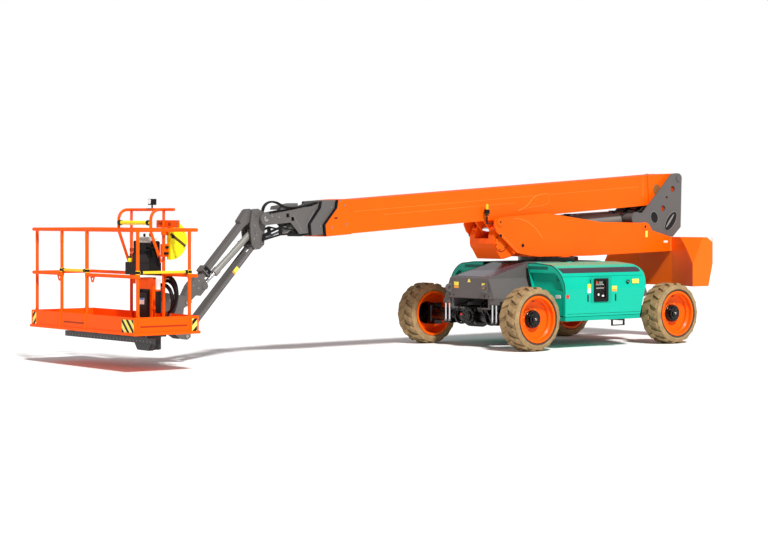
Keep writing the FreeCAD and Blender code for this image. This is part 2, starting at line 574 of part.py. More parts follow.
def chassis_step():
    """Step hanging under the left side box."""
    parts = [box(-330, -90, BOX_OUTER - 40, BOX_OUTER - 10, SIDE_BOX_BOTTOM - 90, SIDE_BOX_BOTTOM - 75)]
    for x in (-330, -102):
        parts.append(box(x, x + 12, BOX_OUTER - 40, BOX_OUTER - 10, SIDE_BOX_BOTTOM - 90, SIDE_BOX_BOTTOM))
    return fuse(*parts)


# ---------------------------------------------------------------- turret
LIFT_EYE_HALF = 70.0
BRACKET_IN = LIFT_EYE_HALF + 6.0
BRACKET_HALF = BRACKET_IN + 40.0
BOOM_BOSS_HALF = 262.0
TURRET_FLOOR = DECK_HEIGHT + RING_HEIGHT
REST_X = 1120.0               # two pads on the front housing, which the parked boom lies on
REST_PAD = (28.0, 88.0)       # from the lift bracket's side
COUNTER_SEAT = -math.sqrt(COUNTER_INNER ** 2 - (TURRET_HALF + 8) ** 2)
PLATE_OUTLINE = [(-447, 1242), (545, 1242), (895, 1299), (1266, 1592), (1310, 1690), (1303, 1770),
                 (1118, 1798), (322, 1853), (-727, 1725), (-1567, 1712), (-1647, 1720), (-1727, 1690),
                 (-1787, 1600), (COUNTER_SEAT + 0.2, 1500), (COUNTER_SEAT + 0.2, 1294)]


def turret_frame():
    """Two side plates on a slewing floor, tied together by cross tubes."""
    inner = TURRET_HALF - TURRET_PLATE
    plate = slab(PLATE_OUTLINE, inner, TURRET_HALF)
    plate = cut(plate, across(48, V(851, 0, 1403), 0, 500))
    floor = box(-560, 640, -inner - 5, inner + 5, TURRET_FLOOR + 7, TURRET_FLOOR + 37)
    race = cylinder(RING_RADIUS - 60, V(0, 0, TURRET_FLOOR - 5), V(0, 0, TURRET_FLOOR + 10))
    tail_floor = slab([(-1380, 1270), (-560, 1242), (-560, 1262), (-1380, 1290)], -inner - 5, inner + 5)
    boss = across(62, V(1210, 0, 1729), TURRET_HALF - 5, TURRET_HALF + 14)
    return fuse(plate, mirrored(plate), floor, race, tail_floor, boss, mirrored(boss))


HOUSING_HALF = 250.0


def front_box():
    """Eight-sided housing across the front of the turret, with a round cover on each end."""
    corners = [(862, 1305), (930, 1250), (1080, 1215), (1120, 1215), (1225, 1365), (1260, 1430), (1260, 1550),
               (1215, 1625), (1080, 1640), (960, 1560), (880, 1440)]
    body = slab(corners, -HOUSING_HALF, HOUSING_HALF)
    inner = TURRET_HALF - TURRET_PLATE
    ends = slab([(880, 1310), (930, 1280), (1020, 1420), (1020, 1540), (960, 1560), (890, 1440)], -inner, inner)
    cover = across(118, V(1130, 0, 1440), -HOUSING_HALF - 12, HOUSING_HALF + 12)
    channel = box(800, 1450, -BRACKET_HALF - 25, BRACKET_HALF + 25, 1500, 1650)
    _, bottom, _ = section_size(0)
    touch = on_boom((REST_X + 50 - BOOM_PIVOT.x) / BOOM_AXIS.x, bottom)
    pad = box(REST_X + 10, REST_X + 50, BRACKET_HALF + REST_PAD[0], BRACKET_HALF + REST_PAD[1], 1600, touch.z - 30)
    return fuse(cut(fuse(body, ends, cover), channel), pad, mirrored(pad))


TOWER_IN = TURRET_HALF - TURRET_PLATE - TOWER_PLATE


def tower():
    """Grey tower: two plates inside the turret's plates, with the boom pivot and lift cylinder pins."""
    outline = [(-2418, 1647), (-2250, COUNTER_TOP + 4), (COUNTER_SEAT + 10, COUNTER_TOP + 4),
               (COUNTER_SEAT + 10, 1400), (-1700, 1400), (-1440, 1640), (-1415, 1774),
               (-1486, 1850), (-1620, 1860), (-2230, 2434), (-2330, 2448), (-2410, 2420), (-2440, 2368)]
    y0, y1 = TOWER_IN, TOWER_IN + TOWER_PLATE
    plate = slab(outline, y0, y1)
    plate = fuse(plate, across(78, BOOM_PIVOT, y0, y1), across(95, LIFT_BASE, y0, y1))
    holes = [across(45, V(-2246, 0, 2211), y0 - 1, y1 + 1), across(22, V(-2118, 0, 2084), y0 - 1, y1 + 1),
             across(45, V(-2043, 0, 1921), y0 - 1, y1 + 1),
             slab([(-1890, 1710), (-1800, 1790), (-1790, 1850), (-1890, 1760)], y0 - 1, y1 + 1),
             slab([(-2250, 1600), (-2160, 1660), (-2150, 1880), (-2250, 1800)], y0 - 1, y1 + 1)]
    plate = cut(plate, *holes)
    pin = across(PIN_RADIUS, BOOM_PIVOT, -y1 - 12, y1 + 12)
    lift_pin = across(PIN_RADIUS, LIFT_BASE, -y1, y1)
    parts = [plate, mirrored(plate), pin, lift_pin]
    for z in (1420, 1560):
        parts.append(box(-2110, -2080, -y0 - 5, y0 + 5, z, z + 90))
    for side in (1, -1):
        near, far = sorted((side * (LIFT_EYE_HALF + 6), side * (y0 + 5)))
        parts.append(across(PIN_RADIUS + 30, LIFT_BASE, near, far))
        near, far = sorted((side * (BOOM_BOSS_HALF + 6), side * (y0 + 5)))
        parts.append(across(PIN_RADIUS + 22, BOOM_PIVOT, near, far))
    return fuse(*parts)


def counterweight():
    """Solid cast weight: wings that flare out behind the plates, hollowed front, tapered foot, chamfered top."""
    rear, taper = COUNTER_REAR, 90.0
    low, middle, top = COUNTER_BOTTOM, COUNTER_BOTTOM + 330.0, COUNTER_TOP
    start = math.asin(COUNTER_HALF / COUNTER_INNER)
    end = math.asin((TURRET_HALF + 8) / COUNTER_INNER)
    arc = []
    for i in range(9):
        a = start - i * (start - end) / 8.0
        arc.append((-COUNTER_INNER * math.cos(a), COUNTER_INNER * math.sin(a)))

    def outline(shift):
        left = arc[::-1] + [(-2455 + shift, COUNTER_HALF), (-2600 + shift, 640), (-2670 + shift, 340),
                            (rear + shift, 120)]
        return left + [(x, -y) for x, y in left[::-1]]

    def ring(shift, z):
        points = [V(x, y, z) for x, y in outline(shift)]
        return Part.makePolygon(points + [points[0]])

    foot = Part.makeLoft([ring(taper, low), ring(0.0, middle)], True, True)
    body = fuse(foot, plan(outline(0.0), middle, top))
    chamfer = slab([(-2330, top + 1), (-2900, top + 1), (-2900, top - 330)], -1000, 1000)
    # the flare: a plane that lowers the front corner of each wing
    a, b, d = V(-2000, COUNTER_HALF, 1060), V(-2250, COUNTER_HALF, top), V(-2100, TURRET_HALF + 8, top)
    normal = (b - a).cross(d - a).normalize()
    flare = Part.makeBox(900, 900, 600, V(-450, -450, 0))
    flare.Placement = FreeCAD.Placement((a + b + d) / 3.0, FreeCAD.Rotation(V(0, 0, 1), normal))
    return cut(body, chamfer, flare, mirrored(flare))


BEACON = V(1400, 272, 1700)


def beacon():
    """Flashing light on a short pole at the front left corner of the turret."""
    x, y, z = BEACON.x, BEACON.y, BEACON.z
    edge = TURRET_HALF - TURRET_PLATE - 0.2
    arm = fuse(box(x - 130, x + 14, y - 12, y + 12, z, z + 12), box(x - 130, x - 110, y - 12, edge, z, z + 12))
    pole = cylinder(9, V(x, y, z + 5), V(x, y, z + 125))
    base = fuse(cylinder(22, V(x, y, z + 110), V(x, y, z + 150)), cylinder(36, V(x, y, z + 140), V(x, y, z + 200)))
    dome = cylinder(20, V(x, y, z + 195), V(x, y, z + 262))
    cap = Part.makeSphere(20, V(x, y, z + 258))
    return fuse(arm, pole, base, dome, cap)


# ---------------------------------------------------------------- lift cylinder
ROD_PIN = on_boom(ROD_PIN_ALONG, -ROD_PIN_BELOW)


def ram(base, tip, barrel_radius, rod_radius, barrel_length, eye_radius, pin_radius, eye_half, retract=0.0):
    """Barrel and rod of a hydraulic cylinder between two cross pins; returns (barrel, rod).

    The rod can still move in by retract.  Its eye carries the middle of its own pin, and the lugs round it
    carry the pin's ends.
    """
    along = (tip - base).normalize()
    wall = 0.22 * (barrel_radius - rod_radius) + 4.0
    neck = cylinder(eye_half - 4, base, base + along * (eye_radius + 24))
    start = base + along * (eye_radius + 20)
    mouth = base + along * barrel_length
    bore_start = start + along * 24
    barrel = fuse(neck, cylinder(barrel_radius, start, mouth), across(eye_radius, base, -eye_half, eye_half),
                  cylinder(barrel_radius + 8, mouth - along * 70, mouth))
    barrel = cut(barrel, across(pin_radius + PIN_CLEARANCE, base, -eye_half - 1, eye_half + 1),
                 cylinder(barrel_radius - wall, bore_start, mouth - along * 40),
                 cylinder(rod_radius + PIN_CLEARANCE, mouth - along * 41, mouth + along * 2))
    piston = bore_start + along * (retract + 12)
    rod = fuse(cylinder(rod_radius, piston, tip),
               cylinder(barrel_radius - wall - PIN_CLEARANCE, piston, piston + along * 50),
               across(eye_radius, tip, -eye_half, eye_half))
    return barrel, rod


def lift_cylinder():
    length = (ROD_PIN - LIFT_BASE).Length
    return ram(LIFT_BASE, ROD_PIN, LIFT_BORE_RADIUS, LIFT_ROD_RADIUS, length - 300, 88, PIN_RADIUS, LIFT_EYE_HALF)


# ---------------------------------------------------------------- boom
def rest_pads():
    """Wear pads under the base section, where it lies on the turret's cross member."""
    _, bottom, _ = section_size(0)
    s = (REST_X + 30 - BOOM_PIVOT.x) / BOOM_AXIS.x + 22
    pad = boom_slab([(s - 40, bottom + 1), (s + 40, bottom + 1), (s + 40, bottom - 22), (s - 40, bottom - 22)],
                    BRACKET_HALF + REST_PAD[0], BRACKET_HALF + REST_PAD[1])
    return [pad, mirrored(pad)]


HEAD_LENGTH = 190.0           # collar on the front end of the base section
HEAD_STEP = 244.0             # the middle section's collar ends this far in front of the base's
MID_MOUTH = BASE_LENGTH + HEAD_STEP + 15.0
HEAD_GAP = 8.0                # left between two heads when the boom is in


def head_edge(step, low, gap=0.0):
    """Slanted front edge of the head of section number step, as (along, up) points from top to bottom."""
    shift, less = BASE_LENGTH + step * HEAD_STEP + gap, 30.0 * step
    return [(shift + 15, 94), (shift + 39, -9 + less / 2), (shift + 247 - less, -215 + less),
            (shift + 240 - less, low)]


def head_collar(outline, step, proud):
    """Collar with the given outline round section number step, open in front."""
    half, bottom, top = section_size(step)
    solid = boom_slab(outline, -half - proud, half + proud)
    start = outline[0][0] - 400
    hollow = boom_block(start, start + 1100, bottom + SECTION_WALL, top - SECTION_WALL, half - SECTION_WALL)
    return cut(solid, hollow)


def boom_base():
    """Base section: box tube, rear pivot lugs, bracket for the lift rod, and the front collar."""
    tube = section_tube(0, 110, BASE_LENGTH)
    half, bottom, top = section_size(0)
    lug = boom_slab([(0, -78), (0, 78), (200, 80), (560, 80), (560, bottom), (300, bottom), (-60, -60)],
                    half - SECTION_WALL, half + 14)
    lug = fuse(lug, across(78, BOOM_PIVOT, half - SECTION_WALL, BOOM_BOSS_HALF))
    rear = boom_block(110, 130, bottom, top, half)
    rear_edge = BASE_LENGTH - HEAD_LENGTH
    collar = head_collar([(rear_edge, 94)] + head_edge(0, bottom - 6) + [(rear_edge, bottom - 6)], 0, 18)
    ear = fuse(boom_slab([(ROD_PIN_ALONG - 210, bottom + 2), (ROD_PIN_ALONG + 210, bottom + 2),
                          (ROD_PIN_ALONG + 75, -ROD_PIN_BELOW - 35), (ROD_PIN_ALONG - 75, -ROD_PIN_BELOW - 35)],
                         BRACKET_IN, BRACKET_HALF - 8),
               across(80, ROD_PIN, BRACKET_IN, BRACKET_HALF - 8),
               across(PIN_RADIUS, ROD_PIN, BRACKET_IN, BRACKET_HALF))
    disc = across(85, V(-1990, 0, 2205), half - 5, half + 14)
    body = fuse(tube, lug, mirrored(lug), rear, collar, ear, mirrored(ear), *rest_pads(), disc, mirrored(disc),
                *pads(1, BASE_LENGTH - 150, True))
    return cut(body, across(PIN_RADIUS + PIN_CLEARANCE, BOOM_PIVOT, -BOOM_BOSS_HALF - 1, BOOM_BOSS_HALF + 1))


def pads(step, s, on_outer=False):
    """Wear blocks between section number step and the one outside it, fixed to one of the two."""
    half, bottom, top = section_size(step)
    half_out, bottom_out, top_out = section_size(step - 1)
    near, far = (0.5, 2.0) if on_outer else (-2.0, -0.5)
    wall_y, wall_low, wall_top = half_out - SECTION_WALL, bottom_out + SECTION_WALL, top_out - SECTION_WALL
    blocks = []
    for t in (bottom + 20, top - 100):
        side = boom_slab([(s, t), (s + 120, t), (s + 120, t + 80), (s, t + 80)], half + near, wall_y + far)
        blocks += [side, mirrored(side)]
    for y in (-half + 20, half - 100):
        for low, high in ((wall_low - far, bottom - near), (top + near, wall_top + far)):
            blocks.append(boom_slab([(s, low), (s + 120, low), (s + 120, high), (s, high)], y, y + 80))
    return blocks


def boom_mid():
    """Middle section with wear blocks at its rear and a head collar."""
    half, bottom, top = section_size(1)
    tube = section_tube(1, 420, MID_MOUTH)
    collar = head_collar(head_edge(0, bottom - 6, HEAD_GAP) + head_edge(1, bottom - 6)[::-1], 1, 18)
    return fuse(tube, collar, *pads(1, 430), *pads(2, MID_MOUTH - 150, True))


def boom_fly():
    """Fly section, with two cheeks that narrow down to the knuckle pin."""
    half, bottom, top = section_size(2)
    tube = section_tube(2, 560, FLY_FRONT + 30)
    s_pin, t_pin = along_boom(KNUCKLE_PIN)
    edge = head_edge(1, bottom - 1, HEAD_GAP)
    cheek = boom_slab([(s, t) for s, t in edge[:0:-1]] + [(edge[0][0], 68), (edge[0][0] + 100, 40),
                      (s_pin + 55, t_pin + 44), (s_pin + 66, t_pin - 60), (s_pin, t_pin - 79),
                      (FLY_FRONT + 160, t_pin - 73), (FLY_FRONT + 30, bottom - 1)], half, half + 16)
    cheek = fuse(cheek, across(80, KNUCKLE_PIN, half, half + 30))
    for s, t in ((FLY_FRONT + 200, -55), (FLY_FRONT + 124, -105)):
        cheek = cut(cheek, boom_slab([(s - 25, t - 25), (s + 25, t - 25), (s + 25, t + 25), (s - 25, t + 25)],
                                     half - 1, half + 17))
    pin = across(KNUCKLE_PIN_RADIUS, KNUCKLE_PIN, -half - 30, half + 30)
    base_pin = across(LEVEL_PIN_RADIUS, LEVEL_BASE, -half + SECTION_WALL - 2, half - SECTION_WALL + 2)
    spacers = across(60, KNUCKLE_PIN, KNUCKLE_HALF + 5, half + 5)
    roof = boom_slab([(FLY_FRONT, top - 1), (FLY_FRONT, 90), (FLY_FRONT + 250, 68), (FLY_FRONT + 270, top - 1)],
                     -half + 30, half - 30)
    return fuse(tube, cheek, mirrored(cheek), pin, base_pin, spacers, mirrored(spacers), roof, *pads(2, 570))


def along_boom(point):
    offset = point - BOOM_PIVOT
    return offset.dot(BOOM_AXIS), offset.dot(BOOM_UP)


KNUCKLE_PIN_RADIUS = 38.0
LEVEL_PIN_RADIUS = 25.0
KNUCKLE_HALF = 106.0
JIB_PIN_RADIUS = 30.0
ARM_HALF = 55.0


def jib_knuckle():
    """Block that stays level at the boom's tip: pins of the fly, both jib arms and two cylinders."""
    y0, y1 = KNUCKLE_IN, KNUCKLE_HALF
    low = 70 - JIB_PIN_SPACING
    outline = [(-65, -15), (-40, 75), (70, 130), (155, 125), (175, 25), (190, -75),
               (185, -175), (165, low + 10), (120, low - 48), (50, low - 44), (-25, -325), (-30, -135)]
    plate = slab([(KNUCKLE_PIN.x + x, KNUCKLE_PIN.z + z) for x, z in outline], y0, y1)
    parts = [plate, mirrored(plate)]
    for pin in (JIB_UPPER_PIN, JIB_LOWER_PIN, JIB_BASE_PIN):
        parts.append(across(JIB_PIN_RADIUS, pin, -y1 - 6, y1 + 6))
    lug = fuse(across(42, LEVEL_PIN, LEVEL_LUG_IN, y0 + 5), across(LEVEL_PIN_RADIUS, LEVEL_PIN, LEVEL_LUG_IN, y1 + 6))
    parts += [lug, mirrored(lug)]
    parts.append(across(60, KNUCKLE_PIN, -y1, y1))
    return cut(fuse(*parts), across(KNUCKLE_PIN_RADIUS + PIN_CLEARANCE, KNUCKLE_PIN, -y1 - 1, y1 + 1))


KNUCKLE_IN = 82.0
LEVEL_BORE_RADIUS = 42.0
LEVEL_LUG_IN = 48.0
LEVEL_RETRACT = 352.0
LEVEL_ROD_RADIUS = 22.0
JIB_BORE_RADIUS = 42.0
JIB_ROD_RADIUS = 25.0


def level_cylinder():
    length = (LEVEL_PIN - LEVEL_BASE).Length
    return ram(LEVEL_BASE, LEVEL_PIN, LEVEL_BORE_RADIUS, LEVEL_ROD_RADIUS, length - 420, 46, LEVEL_PIN_RADIUS, 45,
               LEVEL_RETRACT)


def jib_cylinder():
    length = (JIB_ROD_PIN - JIB_BASE_PIN).Length
    return ram(JIB_BASE_PIN, JIB_ROD_PIN, JIB_BORE_RADIUS, JIB_ROD_RADIUS, length - 230, 46, JIB_PIN_RADIUS, 44, 40.0)


ARM_TOP = 54.0                # the upper arm's tube, above and below the line of its pins
ARM_BOTTOM = -10.0


def jib_upper_arm():
    """Square tube with a gooseneck at the knuckle, a sleeve, and a deep head that takes the rod's eye."""
    half, end = ARM_HALF, JIB_LENGTH
    neck = jib_slab([(-45, -32), (-20, 40), (5, 78), (36, 102), (211, 86), (228, 52), (228, ARM_BOTTOM), (60, -42)],
                    -half, half)
    tube = jib_slab([(200, ARM_TOP), (end - 390, ARM_TOP), (end - 390, ARM_BOTTOM), (200, ARM_BOTTOM)], -half, half)
    core = jib_slab([(232, ARM_TOP - 8), (end - 400, ARM_TOP - 8), (end - 400, ARM_BOTTOM + 8),
                     (232, ARM_BOTTOM + 8)], -half + 8, half - 8)
    eye = across(50, JIB_UPPER_PIN, -half, half)
    sleeve = jib_slab([(965, 89), (1055, 89), (1055, -34), (965, -34)], -half - 12, half + 12)
    sleeve = cut(sleeve, core)
    tip = jib_slab([(1095, 56), (1125, 98), (1310, 98), (end - 20, 56), (end + 45, 10), (end, -48), (1330, -62),
                    (1290, -118), (1130, -120), (1095, -40)], -half, half)
    head_eye = across(50, HEAD_UPPER_PIN, -half, half)
    window = jib_slab([(1090, -125), (1090, 8), (1260, 8), (1260, -125)], -ROD_LUG_IN, ROD_LUG_IN)
    boss = across(44, JIB_ROD_PIN, ROD_LUG_IN, half + 8)
    body = cut(fuse(neck, tube, eye, sleeve, tip, head_eye), core, window)
    body = fuse(body, boss, mirrored(boss))
    return cut(body, across(JIB_PIN_RADIUS + PIN_CLEARANCE, JIB_UPPER_PIN, -half - 1, half + 1),
               across(JIB_PIN_RADIUS + PIN_CLEARANCE, HEAD_UPPER_PIN, -half - 1, half + 1))


ROD_LUG_IN = 46.0
LOWER_HALF = 77.0


def lower_slab(points, y0, y1):
    """A plate in the lower arm's own frame, which is the upper one's moved down to the lower pins."""
    return jib_slab(points, y0, y1).translate(V(0, 0, -JIB_PIN_SPACING))


def jib_lower_arm():
    """Channel, open towards the upper arm so that the jib cylinder can lie in it when the jib is up."""
    half, wall, end = LOWER_HALF, 10.0, JIB_LENGTH
    side = lower_slab([(0, -28), (end, -28), (end, 28), (0, 28)], half - wall, half)
    web = lower_slab([(90, -28), (end - 90, -28), (end - 90, -18), (90, -18)], -half + 5, half - 5)
    parts = [side, mirrored(side), web]
    for pin in (JIB_LOWER_PIN, HEAD_LOWER_PIN):
        boss = across(40, pin, half - wall, half)
        parts += [boss, mirrored(boss)]
    bores = [across(JIB_PIN_RADIUS + PIN_CLEARANCE, p, -half - 1, half + 1) for p in (JIB_LOWER_PIN, HEAD_LOWER_PIN)]
    return cut(fuse(*parts), *bores)


ROTATOR_BOTTOM = FLOOR_HEIGHT - 130.0
ROTATOR_TOP = FLOOR_HEIGHT + 530.0
SHAFT_RADIUS = 52.0


def jib_head():
    """Bracket that the two arms keep level, with the platform rotator's housing in front of it."""
    y0, y1 = KNUCKLE_IN, KNUCKLE_HALF
    up, low = HEAD_UPPER_PIN, HEAD_LOWER_PIN
    plate = slab([(up.x - 70, up.z), (up.x - 30, up.z + 70), (ROTATOR_X - 60, up.z + 130),
                  (ROTATOR_X - 60, ROTATOR_BOTTOM + 60), (ROTATOR_X - 150, ROTATOR_BOTTOM + 60),
                  (low.x + 80, low.z - 40), (low.x, low.z - 50), (low.x - 50, low.z - 20),
                  (low.x - 50, low.z + 30), (low.x + 70, low.z + 130), (up.x + 50, up.z - 70)], y0, y1)
    housing = cylinder(ROTATOR_RADIUS, V(ROTATOR_X, 0, ROTATOR_BOTTOM + 60), V(ROTATOR_X, 0, ROTATOR_TOP - 60))
    parts = [plate, mirrored(plate), housing]
    for pin in (up, low):
        parts.append(across(JIB_PIN_RADIUS, pin, -y1 - 6, y1 + 6))
    parts.append(box(ROTATOR_X - 170, ROTATOR_X - 60, -y0 - 5, y0 + 5, up.z - JIB_PIN_SPACING / 2, up.z + 60))
    bore = cylinder(SHAFT_RADIUS + PIN_CLEARANCE, V(ROTATOR_X, 0, ROTATOR_BOTTOM), V(ROTATOR_X, 0, ROTATOR_TOP))
    return cut(fuse(*parts), bore)


# ---------------------------------------------------------------- platform
PLATFORM_REAR = PLATFORM_FRONT - PLATFORM_DEPTH
HALF_PLATFORM = PLATFORM_WIDTH / 2.0 - RAIL_RADIUS


def platform_carrier():
    """Shaft and C-shaped bracket that hold the platform on the rotator."""
    shaft = cylinder(SHAFT_RADIUS, V(ROTATOR_X, 0, ROTATOR_BOTTOM), V(ROTATOR_X, 0, ROTATOR_TOP))
    bottom = box(ROTATOR_X - 80, PLATFORM_REAR + 420, -110, 110, ROTATOR_BOTTOM, ROTATOR_BOTTOM + 54)
    meet = PLATFORM_REAR + COLUMN_SET
    top = plan([(ROTATOR_X - 70, -90), (ROTATOR_X + 60, -90), (meet, COLUMN_YS[0]), (meet, COLUMN_YS[1]),
                (ROTATOR_X + 60, 90), (ROTATOR_X - 70, 90)], ROTATOR_TOP - 54, ROTATOR_TOP - 14)
    foot = cylinder(115, V(ROTATOR_X + 60, 0, FLOOR_HEIGHT - 285), V(ROTATOR_X + 60, 0, ROTATOR_BOTTOM + 5))
    riser = fuse(box(FLOOR_HEIGHT_X, FLOOR_HEIGHT_X + 120, -110, -70, ROTATOR_BOTTOM, FLOOR_HEIGHT),
                 box(FLOOR_HEIGHT_X, FLOOR_HEIGHT_X + 120, 70, 110, ROTATOR_BOTTOM, FLOOR_HEIGHT))
    return fuse(shaft, bottom, top, foot, riser)


FLOOR_HEIGHT_X = PLATFORM_REAR + 180.0
COLUMN_SET = 21.5             # the column stands this far inside the rear posts' line
COLUMN_YS = (220.0, 360.0)


TREAD_PLATE = 3.0             # tread plate laid on the floor, in front of the console and inside the posts
TREAD_REAR = 330.0
TREAD_EDGE = 26.0


def platform_floor():
    """Floor tray with upright toe boards and a lip round its lower edge."""

    def slab_out(reach, z0, z1):
        return box(PLATFORM_REAR - reach, PLATFORM_FRONT + reach, -HALF_PLATFORM - reach, HALF_PLATFORM + reach,
                   z0, z1)

    inner = RAIL_RADIUS + POST_GAP
    floor = slab_out(inner + TOE_PLATE, FLOOR_HEIGHT, FLOOR_HEIGHT + FLOOR_PLATE)
    toe = cut(slab_out(inner + TOE_PLATE, FLOOR_HEIGHT, TOE_TOP), slab_out(inner, FLOOR_HEIGHT + 5, TOE_TOP + 1))
    lip = cut(slab_out(LIP_REACH, FLOOR_HEIGHT - 28, FLOOR_HEIGHT + 4),
              slab_out(0, FLOOR_HEIGHT - 29, FLOOR_HEIGHT))
    tread = box(PLATFORM_REAR + TREAD_REAR, PLATFORM_FRONT - TREAD_EDGE, -HALF_PLATFORM + TREAD_EDGE,
                HALF_PLATFORM - TREAD_EDGE, FLOOR_HEIGHT + FLOOR_PLATE - 2, FLOOR_HEIGHT + FLOOR_PLATE + TREAD_PLATE)
    return fuse(floor, toe, lip, tread)


def under_beam():
    return box(PLATFORM_REAR + 120, PLATFORM_REAR + 170, -980, 420, ROTATOR_BOTTOM + 60, FLOOR_HEIGHT)


FRONT_POSTS = (-0.42, 0.09)   # as parts of the platform's half width
SIDE_POSTS = (85.0, PLATFORM_DEPTH - 38.0)      # from the rear rail's line
REAR_POSTS = (-246.0, 495.0)
POST_RADIUS = RAIL_RADIUS - 1.0


def platform_rails():
    """Welded guard rail: posts on the floor, top and middle rails, with two open bays for entry."""
    x0, x1, y1 = PLATFORM_REAR, PLATFORM_FRONT, HALF_PLATFORM
    past = RAIL_RADIUS
    parts = []
    posts = [(x1, f * y1) for f in FRONT_POSTS] + [(x0, y) for y in REAR_POSTS]
    posts += [(x0 + reach, side * y1) for reach in SIDE_POSTS for side in (1, -1)]
    for x, y in posts:
        parts.append(cylinder(POST_RADIUS, V(x, y, FLOOR_HEIGHT + FLOOR_PLATE), V(x, y, TOP_RAIL)))
    bars = [(V(x0, -y1 - past, TOP_RAIL), V(x0, y1 + past, TOP_RAIL)),
            (V(x1, -y1 - past, TOP_RAIL), V(x1, y1 + past, TOP_RAIL)),
            (V(x0, -y1, TOP_RAIL), V(x1, -y1, TOP_RAIL)), (V(x0, y1, TOP_RAIL), V(x1, y1, TOP_RAIL)),
            (V(x0, -y1 - past, MID_RAIL), V(x0, y1 + past, MID_RAIL)), (V(x0, -y1, MID_RAIL), V(x1, -y1, MID_RAIL)),
            (V(x0, y1, MID_RAIL), V(x0 + SIDE_POSTS[0], y1, MID_RAIL)),
            (V(x0 + SIDE_POSTS[1], y1, MID_RAIL), V(x1, y1, MID_RAIL)),
            (V(x1, -y1 - past, MID_RAIL), V(x1, FRONT_POSTS[0] * y1, MID_RAIL)),
            (V(x1, FRONT_POSTS[1] * y1, MID_RAIL), V(x1, y1 + past, MID_RAIL))]
    for start, end in bars:
        side = abs(end.x - start.x) > 1
        parts.append(cylinder(RAIL_RADIUS - (0.5 if side else 0.0), start, end))
    for x, y in [(x0 + reach, y1) for reach in SIDE_POSTS] + [(x1, f * y1) for f in FRONT_POSTS]:
        parts.append(cylinder(GATE_SLEEVE, V(x, y, MID_RAIL - 24), V(x, y, MID_RAIL + 24)))
    return fuse(*parts)


GATE_RADIUS = 17.0
GATE_SLEEVE = 27.0
GATE_SLEEVE_LENGTH = 46.0
GATE_CLEARANCE = 1.5
GATE_REST = 0.3               # above the weld collar or rail that the sleeves stand on


def gate_bar(start, end):
    """Bar across an entry bay: a sleeve at each end rides on the post, above the middle rail's end."""
    rise = V(0, 0, 24 + GATE_REST + GATE_SLEEVE_LENGTH / 2.0)
    start, end = start + rise, end + rise
    half = V(0, 0, GATE_SLEEVE_LENGTH / 2.0)
    body = [cylinder(GATE_RADIUS, start, end)] + [cylinder(GATE_SLEEVE, p - half, p + half) for p in (start, end)]
    return cut(fuse(*body), *[cylinder(POST_RADIUS + GATE_CLEARANCE, p - half * 1.1, p + half * 1.1)
                              for p in (start, end)])


def gate_front():
    y1 = HALF_PLATFORM
    return gate_bar(V(PLATFORM_FRONT, FRONT_POSTS[0] * y1, MID_RAIL), V(PLATFORM_FRONT, FRONT_POSTS[1] * y1, MID_RAIL))


def gate_side():
    y1 = HALF_PLATFORM
    return gate_bar(V(PLATFORM_REAR + SIDE_POSTS[0], y1, MID_RAIL), V(PLATFORM_REAR + SIDE_POSTS[1], y1, MID_RAIL))


HOOP_YS = REAR_POSTS           # the hoops stand on the rear posts' line
HOOP_OUT = 180.0              # and reach this far into the platform
HOOP_RADIUS = RAIL_RADIUS - 3.0
BRACE_HEIGHT = 791.0          # above the floor
PLATE_BACK = 34.0


def hoops():
    """Two guard hoops over the console: braced from the posts, upright, then curved back to a top bar."""
    x = PLATFORM_REAR
    seat = TOP_RAIL + RAIL_RADIUS + 0.2
    out = x + HOOP_OUT
    parts = [cylinder(HOOP_RADIUS, V(x, HOOP_YS[0], HOOP_TOP), V(x, HOOP_YS[1] + 230, HOOP_TOP))]
    for y in HOOP_YS:
        low = V(x + POST_RADIUS + HOOP_RADIUS, y, FLOOR_HEIGHT + BRACE_HEIGHT)
        parts.append(tube_path([low, V(out, y, TOP_RAIL - 15), V(out, y, HOOP_TOP), V(x, y, HOOP_TOP)],
                               HOOP_RADIUS, 120.0))
        parts.append(cylinder(HOOP_RADIUS - 1, V(x, y, seat), V(x, y, HOOP_TOP)))
    parts.append(box(x - PLATE_BACK, x - HOOP_RADIUS + 2, HOOP_YS[1] - 190, HOOP_YS[1] + 300, seat + 2, seat + 92))
    return fuse(*parts)


def sensor_bar():
    """Foam-covered bar between the two hoops; pressing it stops the machine."""
    x, z = PLATFORM_REAR + HOOP_OUT, TOP_RAIL + 82
    return cylinder(25, V(x, HOOP_YS[0] + HOOP_RADIUS + 0.3, z), V(x, HOOP_YS[1] - HOOP_RADIUS - 0.3, z))


def console():
    """Control console hung on the rear rails, with its tray below."""
    x = PLATFORM_REAR + RAIL_RADIUS
    face = profile_x([(80, 1240), (467, 1240), (455, 1300), (250, 1530), (105, 1530)], x, x + 170)
    body = face.common(slab([(x - 1, 1239), (x + 165, 1239), (x + 169, 1350), (x + 66, 1600), (x - 1, 1600)], 0, 500))
    tray = cut(box(x, x + 170, -75, 472, 1105, 1250), box(x + 10, x + 160, -65, 462, 1115, 1260))
    return fuse(body, tray)


def platform_column():
    """Hollow column between the floor and the middle rail, with a wider plate across its front."""
    x, (y0, y1) = PLATFORM_REAR + COLUMN_SET, COLUMN_YS
    low, high = FLOOR_HEIGHT + FLOOR_PLATE, MID_RAIL - RAIL_RADIUS - 20
    core = cut(box(x, x + 145, y0, y1, low, high), box(x + 10, x + 135, y0 + 10, y1 - 10, low + 20, high - 10))
    return fuse(core, box(x + 140, x + 150, y0 - 60, y1 + 150, low, high))


